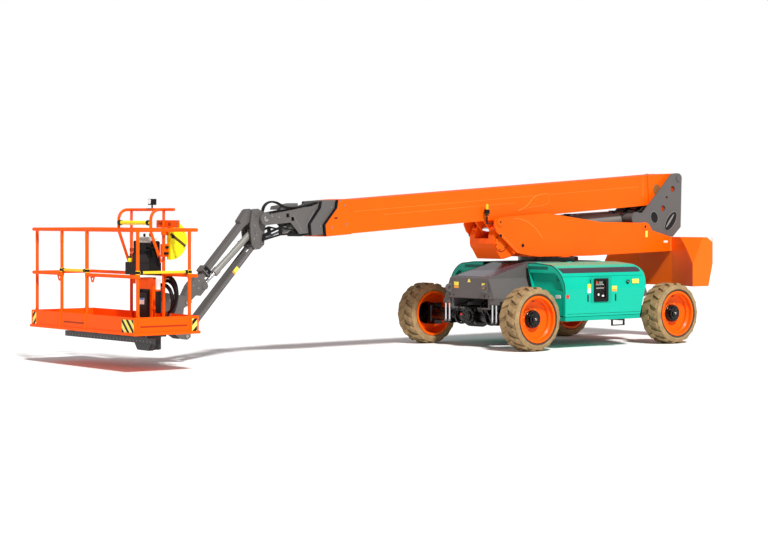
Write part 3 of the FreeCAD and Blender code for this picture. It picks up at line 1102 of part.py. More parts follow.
def document_box():
    """Open-topped box for papers on the column's face."""
    x, y0 = PLATFORM_REAR + COLUMN_SET + 150, COLUMN_YS[0] + 30
    outline = [(x, 600), (x + 46, 600), (x + 46, 900), (x, 940)]
    inside = [(x + 6, 610), (x + 40, 610), (x + 40, 950), (x + 6, 950)]
    return cut(slab(outline, y0, y0 + 210), slab(inside, y0 + 6, y0 + 204))


def storage_drum():
    """Yellow half-round cover behind the rear rail, flat side on the hoops' plate."""
    x = PLATFORM_REAR - PLATE_BACK - 0.3
    y, z, radius = HOOP_YS[1] + 20, TOP_RAIL - 125, 236.0
    disc = across(radius, V(x, 0, z), y, y + 80)
    return disc.common(box(x - radius - 1, x, y - 1, y + 81, z - radius - 1, z + radius + 1))


def platform_lamp():
    """Small work lamp on the hoops' top bar."""
    x, y, z = PLATFORM_REAR, HOOP_YS[0] + 480, HOOP_TOP + HOOP_RADIUS + 0.2
    stem = cylinder(10, V(x, y, z), V(x, y, z + 42))
    lamp = box(x - 38, x + 38, y - 35, y + 35, z + 38, z + 112)
    return fuse(stem, lamp)


# ---------------------------------------------------------------- hoses and carrier
def hose_carrier():
    """Two side plates of the hoses' guide under the fly section's tip, one on each side of the knuckle."""
    half, bottom, top = section_size(2)
    front = FLY_FRONT
    outer = [(front - 40, bottom - 34), (front + 40, bottom - 6), (front + 305, bottom),
             (front + 592, bottom - 48), (front + 570, -264), (front + 300, -186), (front + 60, -250),
             (front + 34, bottom - 0.3), (front - 40, bottom - 0.3)]
    side = boom_slab(outer, CARRIER_IN, CARRIER_IN + 16)
    for window in ([(110, -280), (275, -285), (275, -215), (125, -252)],
                   [(325, -285), (545, -325), (535, -285), (325, -222)]):
        side = cut(side, boom_slab([(front + s, t) for s, t in window], CARRIER_IN - 1, CARRIER_IN + 17))
    hook = boom_block(front - 60, front + 10, bottom - 34, bottom - 0.3, CARRIER_IN + 16)
    return fuse(side, mirrored(side), hook)


CARRIER_IN = KNUCKLE_HALF + 12.0  # clear of the knuckle's pins


# ---------------------------------------------------------------- export
def nodes():
    lift_barrel, lift_rod = lift_cylinder()
    level_barrel, level_rod = level_cylinder()
    jib_barrel, jib_rod = jib_cylinder()
    front, rear = WHEELBASE / 2.0, -WHEELBASE / 2.0
    form = tyre_form()
    result = {
        "chassis_frame": fuse(chassis_frame(), *tie_down_lugs()),
        "slew_ring": slew_ring(),
        "front_axle": front_axle(),
        "rear_axle": rear_axle(),
        "side_box_left": side_box(1),
        "side_box_right": side_box(-1),
        "hood_left": hood(1),
        "hood_right": hood(-1),
        "ground_panel": ground_panel(),
        "engine_block": engine_block(),
        "tank_block": tank_block(),
        "chassis_step": chassis_step(),
        "knuckle_left": knuckle(1),
        "knuckle_right": knuckle(-1),
        "turret_frame": turret_frame(),
        "front_box": front_box(),
        "tower": tower(),
        "counterweight": counterweight(),
        "beacon": beacon(),
        "lift_barrel": lift_barrel,
        "lift_rod": lift_rod,
        "boom_base": boom_base(),
        "boom_mid": boom_mid(),
        "boom_fly": boom_fly(),
        "jib_knuckle": jib_knuckle(),
        "level_barrel": level_barrel,
        "level_rod": level_rod,
        "jib_upper_arm": jib_upper_arm(),
        "jib_lower_arm": jib_lower_arm(),
        "jib_barrel": jib_barrel,
        "jib_rod": jib_rod,
        "jib_head": jib_head(),
        "platform_carrier": platform_carrier(),
        "platform_floor": platform_floor(),
        "under_beam": under_beam(),
        "platform_rails": platform_rails(),
        "gate_front": gate_front(),
        "gate_side": gate_side(),
        "hoops": hoops(),
        "sensor_bar": sensor_bar(),
        "console": console(),
        "platform_column": platform_column(),
        "document_box": document_box(),
        "storage_drum": storage_drum(),
        "platform_lamp": platform_lamp(),
        "hose_carrier": hose_carrier(),
    }
    for name, x, side in (("front_left", front, 1), ("front_right", front, -1),
                          ("rear_left", rear, 1), ("rear_right", rear, -1)):
        result["tyre_" + name] = tyre(form, x, side)
        result["rim_" + name] = rim(x, side)
        result["hub_" + name] = hub(x, side)
    return result


def main():
    os.makedirs("parts", exist_ok=True)
    for name, shape in nodes().items():
        shape.translate(V(-ORIGIN_X, 0, 0))
        shape.exportStep("parts/" + name + ".step")


main()
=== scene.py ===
"""Looks of the telescopic boom lift: materials, small pieces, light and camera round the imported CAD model."""
import bpy
import bmesh
import json
import math
from mathutils import Matrix, Vector

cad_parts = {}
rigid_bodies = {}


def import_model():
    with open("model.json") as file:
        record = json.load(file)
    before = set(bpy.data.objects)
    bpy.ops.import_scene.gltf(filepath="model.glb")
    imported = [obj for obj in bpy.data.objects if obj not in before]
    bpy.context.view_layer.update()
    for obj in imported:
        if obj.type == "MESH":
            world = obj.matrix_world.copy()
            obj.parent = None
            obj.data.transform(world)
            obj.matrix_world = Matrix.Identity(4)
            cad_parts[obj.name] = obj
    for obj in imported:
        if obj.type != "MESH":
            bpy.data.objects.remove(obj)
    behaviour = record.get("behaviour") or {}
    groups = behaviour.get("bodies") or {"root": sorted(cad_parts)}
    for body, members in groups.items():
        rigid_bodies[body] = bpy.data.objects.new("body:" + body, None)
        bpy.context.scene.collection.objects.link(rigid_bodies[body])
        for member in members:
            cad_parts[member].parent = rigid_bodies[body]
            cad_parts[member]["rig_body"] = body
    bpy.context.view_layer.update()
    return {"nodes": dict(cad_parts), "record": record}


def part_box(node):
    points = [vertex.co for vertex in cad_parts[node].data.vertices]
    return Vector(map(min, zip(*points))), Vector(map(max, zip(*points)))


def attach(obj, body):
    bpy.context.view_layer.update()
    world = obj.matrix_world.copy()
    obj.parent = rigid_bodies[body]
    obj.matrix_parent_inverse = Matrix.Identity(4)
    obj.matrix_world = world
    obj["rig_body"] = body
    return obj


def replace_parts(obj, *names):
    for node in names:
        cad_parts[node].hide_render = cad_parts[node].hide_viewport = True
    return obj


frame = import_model()
nodes = frame["nodes"]
record = frame["record"]

ring_lo, ring_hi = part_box("slew_ring")
MM = 0.001                                       # pieces are built in millimetres; done() turns them into metres
SLEW_X = (ring_lo[0] + ring_hi[0]) / 2.0 / MM    # row x of the slew axis
UX, UY, UZ = Vector((1, 0, 0)), Vector((0, 1, 0)), Vector((0, 0, 1))
HANDS = (("left", 1), ("right", -1))
SIDES = (1, -1)


def P(x, y, z):
    """Point given from the slew axis on the ground."""
    return Vector((SLEW_X + x, y, z))


def pts(x0, *rows):
    """Points for rows (x, y, z) whose x is counted from x0."""
    return [P(x0 + x, y, z) for x, y, z in rows]


# ------------------------------------------------------------------ materials
MID_TONE = (0.3, 0.7)      # the part of a noise that is spread over the whole range


def lin(rgb):
    """Linear colour of 0-255 numbers."""
    part = [c / 255.0 for c in rgb]
    return tuple([c / 12.92 if c <= 0.04045 else ((c + 0.055) / 1.055) ** 2.4 for c in part] + [1.0])


def shade(rgb, k):
    return tuple(max(0.0, min(255.0, c * k)) for c in rgb)


def new_material(name):
    m = bpy.data.materials.new(name)
    m.use_nodes = True
    t = m.node_tree
    t.nodes.clear()
    out = t.nodes.new("ShaderNodeOutputMaterial")
    b = t.nodes.new("ShaderNodeBsdfPrincipled")
    t.links.new(b.outputs[0], out.inputs[0])
    m.diffuse_color = (0.5, 0.5, 0.5, 1)
    return m, t, b


def put(node, **values):
    """Constants on a node's sockets; an underscore stands for a space."""
    for key, value in values.items():
        node.inputs[key.replace("_", " ")].default_value = value


def noise(t, coord, scale, detail=3.0, rough=0.5):
    n = t.nodes.new("ShaderNodeTexNoise")
    put(n, Scale=scale, Detail=detail, Roughness=rough)
    t.links.new(coord, n.inputs["Vector"])
    return n.outputs["Fac"]


def remap(t, value, lo, hi, a, b):
    r = t.nodes.new("ShaderNodeMapRange")
    put(r, From_Min=lo, From_Max=hi, To_Min=a, To_Max=b)
    t.links.new(value, r.inputs["Value"])
    return r.outputs[0]


def mix(t, fac, a, b):
    """Colour between a and b, each a socket or a constant."""
    n = t.nodes.new("ShaderNodeMix")
    n.data_type = "RGBA"
    for sock, v in (("A", a), ("B", b)):
        i = [s for s in n.inputs if s.name == sock and s.type == "RGBA"][0]
        if hasattr(v, "links"):
            t.links.new(v, i)
        else:
            i.default_value = v
    t.links.new(fac, [s for s in n.inputs if s.name == "Factor" and s.type == "VALUE"][0])
    return [o for o in n.outputs if o.type == "RGBA"][0]


def tones(t, fac, rgb, low, high):
    return mix(t, fac, lin(shade(rgb, low)), lin(shade(rgb, high)))


def grained(name, grain, detail, rough_lo, rough_hi, bump=0.0, height=0.01):
    """Material whose roughness, and bump if it has one, follow a fine grain."""
    m, t, b = new_material(name)
    co = t.nodes.new("ShaderNodeTexCoord").outputs["Object"]
    fine = noise(t, co, grain, detail)
    t.links.new(remap(t, fine, *MID_TONE, rough_lo, rough_hi), b.inputs["Roughness"])
    if bump:
        bp = t.nodes.new("ShaderNodeBump")
        put(bp, Strength=bump, Distance=height)
        t.links.new(fine, bp.inputs["Height"])
        t.links.new(bp.outputs[0], b.inputs["Normal"])
    return m, t, b, co


def paint(name, rgb, rough=0.36, vary=0.025, coat=0.03, spec=0.14, grain=90.0, bump=0.03, dust=None):
    """Sprayed paint: slight tone drift, orange peel and a little dust low down."""
    m, t, b, co = grained(name, grain, 2.0, rough - 0.06, rough + 0.08, bump)
    col = tones(t, remap(t, noise(t, co, 1.7, 4.0), *MID_TONE, 0.0, 1.0), rgb, 1 - vary, 1 + vary)
    if dust:
        sep = t.nodes.new("ShaderNodeSeparateXYZ")
        t.links.new(co, sep.inputs[0])
        low = remap(t, sep.outputs["Z"], 0.2, 0.9, dust[1], 0.0)
        speck = remap(t, noise(t, co, 6.0, 6.0, 0.65), 0.4, 0.7, 0.0, 1.0)
        both = t.nodes.new("ShaderNodeMath")
        both.operation = "MULTIPLY"
        t.links.new(low, both.inputs[0])
        t.links.new(speck, both.inputs[1])
        col = mix(t, both.outputs[0], col, lin(dust[0]))
    t.links.new(col, b.inputs["Base Color"])
    put(b, Coat_Weight=coat, Coat_Roughness=0.15, Specular_IOR_Level=spec)
    return m


def rubber(name, rgb, dark, rough=0.85):
    """Tyre rubber: chalky tone, darker in the hollows, fine grain."""
    m, t, b, co = grained(name, 160.0, 3.0, rough - 0.08, rough + 0.1, 0.25, 0.004)
    col = tones(t, remap(t, noise(t, co, 9.0, 6.0, 0.65), 0.35, 0.68, 0.0, 1.0), rgb, 0.86, 1.08)
    geo = t.nodes.new("ShaderNodeNewGeometry")
    hollow = remap(t, geo.outputs["Pointiness"], 0.42, 0.5, 0.8, 0.0)
    t.links.new(mix(t, hollow, col, lin(dark)), b.inputs["Base Color"])
    return m


def metal(name, rgb, rough=0.15):
    m, t, b, co = grained(name, 220.0, 2.0, rough * 0.8, rough * 1.3)
    t.links.new(tones(t, noise(t, co, 5.0), rgb, 0.93, 1.04), b.inputs["Base Color"])
    put(b, Metallic=1.0)
    return m


def plastic(name, rgb, rough=0.45, grain=140.0, bump=0.08, vary=0.08):
    m, t, b, co = grained(name, grain, 2.0, rough - 0.06, rough + 0.1, bump, 0.003)
    t.links.new(tones(t, noise(t, co, 7.0, 4.0), rgb, 1 - vary, 1 + vary), b.inputs["Base Color"])
    put(b, Specular_IOR_Level=0.25)
    return m


def lens(name, rgb):
    m, t, b = new_material(name)
    ribs = t.nodes.new("ShaderNodeTexWave")
    put(ribs, Scale=60.0)
    t.links.new(t.nodes.new("ShaderNodeTexCoord").outputs["Object"], ribs.inputs["Vector"])
    t.links.new(tones(t, ribs.outputs["Fac"], rgb, 0.9, 1.1), b.inputs["Base Color"])
    put(b, Roughness=0.12, Coat_Weight=0.6)
    return m


ORANGE, TEAL, DUSTY = (255, 97, 4), (6, 186, 156), (150, 132, 105)
STICKER = dict(rough=0.4, bump=0.02, vary=0.03)
# kind of material, its name, its numbers, and the record's slot where the name isn't one itself
LOOKS = (
    (paint, "orange_paint", (ORANGE,), dict(coat=0.02), ""),
    (paint, "turquoise_cover", (TEAL,), dict(rough=0.3, coat=0.15, vary=0.02), ""),
    (paint, "turquoise_steel", (shade(TEAL, 0.92),), dict(rough=0.4), ""),
    (paint, "grey_paint", ((98, 95, 94),), dict(rough=0.45, dust=(DUSTY, 0.15)), ""),
    (paint, "black_paint", ((5, 3, 3),), dict(rough=0.22, vary=0.2, coat=0.1, spec=0.35), ""),
    (rubber, "tyre_rubber", ((158, 132, 92), (74, 54, 34)), {}, ""),
    (metal, "rod_chrome", ((226, 226, 230), 0.12), {}, ""),
    (paint, "cast_weight", ((255, 108, 16),), dict(rough=0.42, grain=45.0, bump=0.12), ""),
    (paint, "rail_paint", ((255, 92, 8),), dict(rough=0.4, coat=0.0, spec=0.08), ""),
    (plastic, "black_plastic", ((15, 14, 15),), dict(rough=0.42), ""),
    (plastic, "yellow_plastic", ((255, 236, 20),), dict(rough=0.35, bump=0.03, vary=0.03), ""),
    (plastic, "yellow_bar", ((255, 205, 40),), dict(rough=0.4, bump=0.04, vary=0.05), ""),
    (lens, "amber_lens", ((255, 190, 20),), {}, ""),
    (paint, "cylinder_paint", ((136, 134, 130),), dict(rough=0.35, coat=0.3), ""),
    (plastic, "hose", ((18, 17, 18),), dict(rough=0.5, grain=260.0, bump=0.15), "black_plastic"),
    (plastic, "label_yellow", ((255, 232, 90),), STICKER, "yellow_plastic"),
    (plastic, "label_white", ((240, 240, 236),), dict(rough=0.4, bump=0.02, vary=0.02), "amber_lens"),
    (lens, "red_lens", ((215, 35, 20),), {}, "amber_lens"),
    (lens, "white_lens", ((235, 240, 240),), {}, "amber_lens"),
    (metal, "steel", ((170, 168, 165), 0.35), {}, "rod_chrome"),
    # dark teal for painted shade under the cover's step and in its foot groove
    (plastic, "dark_seam", ((12, 40, 36),), dict(rough=0.6), "black_plastic"),
    (plastic, "dark_stripe", ((62, 58, 66),), dict(rough=0.35, bump=0.02), "grey_paint"),
    (plastic, "dark_teal", ((14, 110, 96),), dict(rough=0.5, bump=0.03), "turquoise_steel"),
    (plastic, "bronze", ((150, 96, 52),), dict(rough=0.4, bump=0.05, vary=0.12), "grey_paint"),
    (paint, "orange_weld", ((255, 140, 58),), dict(rough=0.5, vary=0.08, grain=160.0, bump=0.2), "orange_paint"),
    # darker orange, used as painted shade in the toe grooves and behind the tower's holes
    (paint, "orange_shade", ((176, 52, 10),), dict(rough=0.5), "orange_paint"),
    (paint, "grey_weld", ((140, 135, 136),), dict(rough=0.5, grain=160.0, bump=0.2), "grey_paint"),
    (paint, "gloss_grey", ((96, 94, 102),), dict(rough=0.16, coat=0.9, bump=0.01), "grey_paint"),
    (plastic, "label_amber", ((250, 170, 60),), dict(rough=0.4, bump=0.02, vary=0.04), "yellow_plastic"),
    (plastic, "label_blue", ((70, 130, 205),), dict(rough=0.4, bump=0.02, vary=0.04), "black_plastic"),
    (plastic, "screen_glass", ((110, 122, 112),), dict(rough=0.15, bump=0.01), "black_plastic"),
    (plastic, "hazard_yellow", ((255, 232, 110),), STICKER, "yellow_plastic"),
    (plastic, "hazard_black", ((20, 19, 20),), dict(bump=0.02), "black_plastic"),
    (plastic, "panel_grey", ((196, 194, 192),), dict(rough=0.35, bump=0.02, vary=0.04), "cylinder_paint"),
    (plastic, "soft_black", ((13, 11, 12),), dict(rough=0.6, bump=0.1), "black_plastic"),
    (paint, "pale_patch", ((255, 168, 118),), dict(rough=0.4), "rail_paint"),
    (plastic, "dark_strap", ((92, 66, 20),), dict(rough=0.6, bump=0.1), "black_plastic"),
    (rubber, "dust_rubber", ((188, 166, 126), (120, 98, 68)), {}, "tyre_rubber"),
    # dark rubber for the ring by the rim: painted shadow where the tyre meets the rim
    (rubber, "dark_bead", ((78, 58, 40), (40, 30, 22)), {}, "tyre_rubber"),
)
M = {name: make(name, *numbers, **more) for make, name, numbers, more, _ in LOOKS}

slots = {s["node"]: s["material_slot"] for s in record["subparts"]}
for name, obj in nodes.items():
    m = M[slots[name]]
    if not obj.material_slots:
        obj.data.materials.append(m)
    for s in obj.material_slots:
        s.material = m

# ------------------------------------------------------------------ mesh tools
SHARP, BEVELLED = 38.0, 0.5      # an edge is kept sharp above this, in degrees, and bevelled above this, in radians
SINK = 3                         # how far a bolt or disc starts inside the face


def turns(n):
    return [2 * math.pi * i / n for i in range(n)]


def across(axis):
    """Unit axis and two directions at right angles to it."""
    a = Vector(axis).normalized()
    side = a.orthogonal().normalized()
    return a, side, a.cross(side)


def spoke(side, other, angle):
    return side * math.cos(angle) + other * math.sin(angle)


class Piece:
    """One visual piece: shapes are added to it, then done() gives it a material and lets it ride on a node's body."""

    def __init__(self, name, material, node):
        self.name, self.material, self.node = name, material, node
        self.bm = bmesh.new()

    def take(self, part, bevel=0):
        bmesh.ops.recalc_face_normals(part, faces=part.faces)
        if bevel:
            edges = [e for e in part.edges if len(e.link_faces) == 2 and e.calc_face_angle(0) > BEVELLED]
            bmesh.ops.bevel(part, geom=edges, offset=bevel, segments=2, affect="EDGES", clamp_overlap=True)
        me = bpy.data.meshes.new("part")
        part.to_mesh(me)
        part.free()
        self.bm.from_mesh(me)
        bpy.data.meshes.remove(me)
        return self

    def prism(self, outline, origin, u, v, depth, bevel=0):
        """Outline of (a, b) points in the plane through origin along u and v, grown by depth along u x v."""
        part = bmesh.new()
        o, u, v = Vector(origin), Vector(u).normalized(), Vector(v).normalized()
        n = u.cross(v) * depth
        low = [part.verts.new(o + u * a + v * b) for a, b in outline]
        high = [part.verts.new(p.co + n) for p in low]
        part.faces.new(low)
        part.faces.new(high[::-1])
        for i in range(len(low)):
            j = (i + 1) % len(low)
            part.faces.new((low[i], low[j], high[j], high[i]))
        return self.take(part, bevel)

    def side_plate(self, outline, side, y, depth, bevel=0):
        """Outline of (x, z) points on the face at y of the side that is named by 1 or -1, grown outward."""
        line = [(x + SLEW_X, z) for x, z in outline]
        return self.prism(line, (0, side * y, 0), UX, UZ, -depth * side, bevel)

    def end_plate(self, outline, x, depth, bevel=0):
        """Outline of (y, z) points at x, grown forward."""
        return self.prism(outline, P(x, 0, 0), UY, UZ, depth, bevel)

    def frame(self, outer, inner, origin, u, v, depth):
        """Flat frame between two outlines with the same number of points."""
        part = bmesh.new()
        o, u, v = Vector(origin), Vector(u).normalized(), Vector(v).normalized()
        n = u.cross(v) * depth
        rings = []
        for line in (outer, inner):
            low = [part.verts.new(o + u * a + v * b) for a, b in line]
            rings.append((low, [part.verts.new(p.co + n) for p in low]))
        (a, b), (c, d) = rings
        for i in range(len(a)):
            j = (i + 1) % len(a)
            for p, q in ((a, c), (b, d), (a, b), (c, d)):
                part.faces.new((p[i], p[j], q[j], q[i]))
        return self.take(part)

    def block(self, lo, hi, bevel=4):
        (x0, y0, z0), (x1, y1, z1) = lo, hi
        return self.prism([(x0, y0), (x1, y0), (x1, y1), (x0, y1)], (0, 0, z0), UX, UY, z1 - z0, bevel)

    def turned(self, profile, origin, axis, n=24):
        """(radius, height) profile turned about axis through origin; one that starts off the axis is closed."""
        part = bmesh.new()
        o, (a, side, other) = Vector(origin), across(axis)
        rows = []
        for r, h in profile + (profile[:1] if profile[0][0] else []):
            if r < 1e-6:
                rows.append([part.verts.new(o + a * h)])
            else:
                rows.append([part.verts.new(o + a * h + spoke(side, other, t) * r) for t in turns(n)])
        for p, q in zip(rows, rows[1:]):
            for i in range(n):
                j = (i + 1) % n
                if len(p) == 1 and len(q) > 1:
                    part.faces.new((p[0], q[j], q[i]))
                elif len(q) == 1 and len(p) > 1:
                    part.faces.new((p[i], p[j], q[0]))
                elif len(p) > 1:
                    part.faces.new((p[i], p[j], q[j], q[i]))
        return self.take(part)

    def collar(self, origin, axis, inner, outer, low, high, edge=0, n=24):
        """Ring between two radii and two heights, slanted at its outer edges."""
        return self.turned([(inner, low), (outer, low + edge), (outer, high - edge), (inner, high)], origin, axis, n)

    def plug(self, origin, axis, r, low, high, back=0, drop=0, n=24):
        """Round plug between two heights; its top edge is slanted by back and drop."""
        top = [(r, high - drop), (r - back, high)] if back else [(r, high)]
        return self.turned([(0, low), (r, low)] + top + [(0, high)], origin, axis, n)

    def disc(self, origin, axis, r, h, n=24):
        return self.plug(origin, axis, r, -SINK, h, 2, 2, n)

    def bolt(self, origin, axis, r=12, h=10):
        self.plug(origin, axis, r * 1.45, -SINK, r * 0.2, n=14)
        return self.plug(origin, axis, r, 0, h, r * 0.2, h * 0.15, 6)

    def ring_of_bolts(self, origin, axis, ring, count, r=12, h=10, turn=0):
        _, side, other = across(axis)
        for t in turns(count):
            self.bolt(Vector(origin) + spoke(side, other, turn + t) * ring, axis, r, h)
        return self

    def tube(self, points, r, n=10, smooth=True, ribs=0.0, step=30):
        """Round tube with closed ends through points, smoothed by a spline; ribs makes it corrugated."""
        line = [Vector(p) for p in points]
        if smooth and len(line) > 2:
            ext = [line[0] * 2 - line[1]] + line + [line[-1] * 2 - line[-2]]
            fine = []
            for i in range(1, len(ext) - 2):
                p0, p1, p2, p3 = ext[i - 1:i + 3]
                count = max(3, int((p2 - p1).length / step))
                for k in range(count):
                    t = k / count
                    fine.append(0.5 * ((2 * p1) + (p2 - p0) * t + (2 * p0 - 5 * p1 + 4 * p2 - p3) * t * t
                                       + (3 * p1 - p0 - 3 * p2 + p3) * t ** 3))
            line = fine + line[-1:]
        part = bmesh.new()
        normal = (line[1] - line[0]).orthogonal().normalized()
        rows = []
        for i, p in enumerate(line):
            tangent = (line[min(i + 1, len(line) - 1)] - line[max(i - 1, 0)]).normalized()
            normal = (normal - tangent * normal.dot(tangent)).normalized()
            radius = r * (1.0 - (ribs if i % 2 else 0.0))
            rows.append([part.verts.new(p + spoke(normal, tangent.cross(normal), a) * radius) for a in turns(n)])
        for p, q in zip(rows, rows[1:]):
            for i in range(n):
                j = (i + 1) % n
                part.faces.new((p[i], p[j], q[j], q[i]))
        part.faces.new(rows[0])
        part.faces.new(rows[-1][::-1])
        return self.take(part)

    def rod(self, points, r, n=8):
        """Straight runs from point to point."""
        return self.tube(points, r, n, False)

    def done(self):
        me = bpy.data.meshes.new(self.name)
        self.bm.to_mesh(me)
        self.bm.free()
        me.transform(Matrix.Scale(MM, 4))
        for p in me.polygons:
            p.use_smooth = True
        me.set_sharp_from_angle(angle=math.radians(SHARP))
        me.materials.append(M[self.material])
        ob = bpy.data.objects.new(self.name, me)
        bpy.context.scene.collection.objects.link(ob)
        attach(ob, nodes[self.node]["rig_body"])
        return ob


def rounded(w, h, r, at=(0, 0), n=4):
    """Outline of a rectangle with round corners, about the point at."""
    out = []
    for i, (sx, sy) in enumerate(((1, 1), (-1, 1), (-1, -1), (1, -1))):
        for k in range(n + 1):
            a = math.radians(90.0 * (i + k / n))
            out.append((at[0] + sx * (w / 2 - r) + r * math.cos(a), at[1] + sy * (h / 2 - r) + r * math.sin(a)))
    return out


def sticker(name, material, node, at, w, h, facing, r=6, thick=1.2):
    """Thin blank plate on a flat face; at is its middle on the face and facing the way that it looks."""
    n = Vector(facing).normalized()
    u = UZ.cross(n).normalized()
    return Piece(name, material, node).prism(rounded(w, h, r), Vector(at) - n * 2, u, n.cross(u), thick + 2).done()


BOOM_START, BOOM_SLOPE = (-2365, 2368), math.radians(4.0)
JIB_START, JIB_SLOPE, JIB_DROP = (5150.6, 1845.6), math.radians(47.0), 410


def axes(slope):
    """Directions along and at right angles to an arm that slopes down to the front."""
    return Vector((math.cos(slope), 0, -math.sin(slope))), Vector((math.sin(slope), 0, math.cos(slope)))


BOOM_AXIS, BOOM_UP = axes(BOOM_SLOPE)
JIB_AXIS, JIB_OUT = axes(JIB_SLOPE)


def on_boom(s, t, y=0):
    return P(BOOM_START[0], y, BOOM_START[1]) + BOOM_AXIS * s + BOOM_UP * t


def on_jib(s, t, y=0, drop=0):
    return P(JIB_START[0], y, JIB_START[1] - drop) + JIB_AXIS * s + JIB_OUT * t


def along(p, start, axis, up):
    """(along, up) numbers of a point on an arm."""
    d = p - start
    return d.dot(axis), d.dot(up)


def along_boom(x, z):
    return along(P(x, 0, z), on_boom(0, 0), BOOM_AXIS, BOOM_UP)


# ------------------------------------------------------------------ wheels
AXLE_X, WHEEL_Y, WHEEL_R = 1350, 1075, 430
DISC = 24         # outer face of the rim's disc, from the wheel's middle

for end, wheel_x in (("front", AXLE_X), ("rear", -AXLE_X)):
    for hand, side in HANDS:
        tag, out = end + "_" + hand, UY * side
        rim, hub, tyre = "rim_" + tag, "hub_" + tag, "tyre_" + tag
        mid = P(wheel_x, side * WHEEL_Y, WHEEL_R)
        Piece("wheel_nuts_" + tag, "orange_weld", rim).ring_of_bolts(mid + out * DISC, out, 143, 10, 10.5, 14).done()
        caps = Piece("hub_bolts_" + tag, "black_paint", hub)
        caps.ring_of_bolts(mid + out * (DISC + 62), out, 103, 12, 6.5, 8)
        caps.ring_of_bolts(mid + out * (DISC + 84), out, 70, 6, 7, 9, 0.3)
        caps.turned([(r, DISC + h) for r, h in ((118, 12), (121.5, 15), (121.5, 28), (118, 31), (112, 31),
            (112, 12))], mid, out, 40).done()
        Piece("hub_plug_" + tag, "steel", hub).disc(mid + out * (DISC + 98), out, 18, 6).done()
        Piece("valve_" + tag, "black_plastic", rim).tube(
            [mid + UZ * h + out * y for h, y in ((235, DISC + 4), (243, 70), (247, 92))], 6, 8).done()
        Piece("bead_line_" + tag, "dust_rubber", tyre).turned([(352, 166.5), (356, 171.5), (360, 166.5)], mid, out,
            72).done()
        # dark ring on the sidewall next to the rim: painted shadow
        Piece("bead_painted_shadow_" + tag, "dark_bead", tyre).turned([(319.5, 147), (319.5, 151.5), (331, 167.2), (345, 169),
            (345, 166), (331, 164)], mid, out, 72).done()

# ------------------------------------------------------------------ side covers
BOX_OUTER = 1205                                 # outer face of the covers
ROUND_FROM = 815                                # height at which the round shoulder starts
ARC_Y, ARC_Z, ARC_R = 814.5148515, 762.5465347, 393.9924076     # circle of the shoulder


def shoulder(z, out=0):
    """y of the cover's round shoulder at height z, moved out by a little."""
    if z < ROUND_FROM:
        return BOX_OUTER + out
    return ARC_Y + math.sqrt(max(0, (ARC_R + out) ** 2 - (z - ARC_Z) ** 2))


def shoulder_strip(name, material, node, side, rows, proud=1.2):
    """Strip on the cover's round shoulder; rows are (z, rear x, front x) from bottom to top."""
    bm = bmesh.new()
    grid = []
    for z, x0, x1 in rows:
        y_in, y_out = side * shoulder(z, -4), side * shoulder(z, proud)
        grid.append([bm.verts.new(P(x, y, z)) for x, y in ((x0, y_in), (x0, y_out), (x1, y_out), (x1, y_in))])
    for a, b in zip(grid, grid[1:]):
        for i in range(4):
            j = (i + 1) % 4
            bm.faces.new((a[i], a[j], b[j], b[i]))
    bm.faces.new(grid[0])
    bm.faces.new(grid[-1][::-1])
    return Piece(name, material, node).take(bm).done()


for hand, side in HANDS:
    hood = "hood_" + hand
    out = UY * side
    rows = []
    for i in range(15):
        f = i / 14.0
        rows.append((1031 + 68 * f, -706 - 36 * math.sqrt(max(0, 1 - (2 * f - 1) ** 2)), 764 + 30 * f))
    shoulder_strip("cover_stripe_" + hand, "dark_stripe", hood, side, rows)
    step = ((986, -735), (989, -735), (997, -737), (1000, -738))
    shoulder_strip("cover_step_" + hand, "turquoise_cover", hood, side, [(z, x, 792) for z, x in step], 6)
    # strip just under the raised step: painted shade
    shoulder_strip("cover_step_shade_" + hand, "dark_seam", hood, side, [(z, -733, 790) for z in (983.5, 986.2)], 0.8)
    # flat dark line along the cover's foot: painted shade of a groove
    Piece("cover_foot_groove_shade_" + hand, "dark_seam", hood).block(P(-612, side * 1204.5 - 1.2, 476.5),
        P(786, side * 1204.5 + 1.2, 481.5), 0).done()
    low = [(566, 452), (1155, 452), (1155, 772), (1150, 786), (1137, 796), (566, 806)]
    Piece("cover_front_low_" + hand, "turquoise_cover", hood).end_plate([(a * side, b) for a, b in low[::side]], 770,
        38, 5).done()
    seam = [(side * y, z) for y, z in ((462, 1158.5), (600, 1157.5), (720, 1151.5), (840, 1142.5))]
    seam += [(side * shoulder(z, -6), z) for z in (1131, 1100, 1060, 1010, 960, 900, 850, 790, 755)]
    Piece("cover_seam_" + hand, "hose", hood).tube([P(811.5, y, z) for y, z in seam], 6.2, 8).done()
    vent = Piece("cover_vent_" + hand, "dark_teal", hood)
    for i in range(5):
        z = 925 + 19 * i
        vent.block(P(766, side * 1055 - 62, z), P(776.5, side * 1055 + 62, z + 10), 2)
    vent.done()
    Piece("cover_band_plate_" + hand, "dark_teal", hood).end_plate(rounded(400, 42, 12, (side * 665, 1098)), 811,
        5.2).done()
    Piece("cover_lamp_" + hand, "white_lens", hood).end_plate(rounded(100, 48, 12, (side * 1055, 712)), 804, 9.5,
        3).done()
    Piece("cover_reflector_" + hand, "red_lens", hood).turned([(0, -4), (30, -4), (30, 4), (25, 7.5), (0, 8.5)],
        P(772, side * BOX_OUTER, 716), out, 28).done()
    for i, x in enumerate((391, -139)):
        Piece("cover_latch_%s_%d" % (hand, i), "black_plastic", hood).side_plate(rounded(20, 98, 8, (x, 688)), side,
            BOX_OUTER - 3, 11, 2.5).done()
    sticker("cover_label_long_" + hand, "label_yellow", hood, P(-530, side * BOX_OUTER, 905), 130, 62, out, 8)
    Piece("cover_lock_" + hand, "black_plastic", hood).turned([(0, -4), (27, -4), (27, 6), (22, 9), (16, 6), (0, 6)],
        P(-382, side * BOX_OUTER, 902), out).done()
    Piece("cover_lock_core_" + hand, "steel", hood).disc(P(-382, side * (BOX_OUTER + 5.5), 902), out, 11, 3).done()

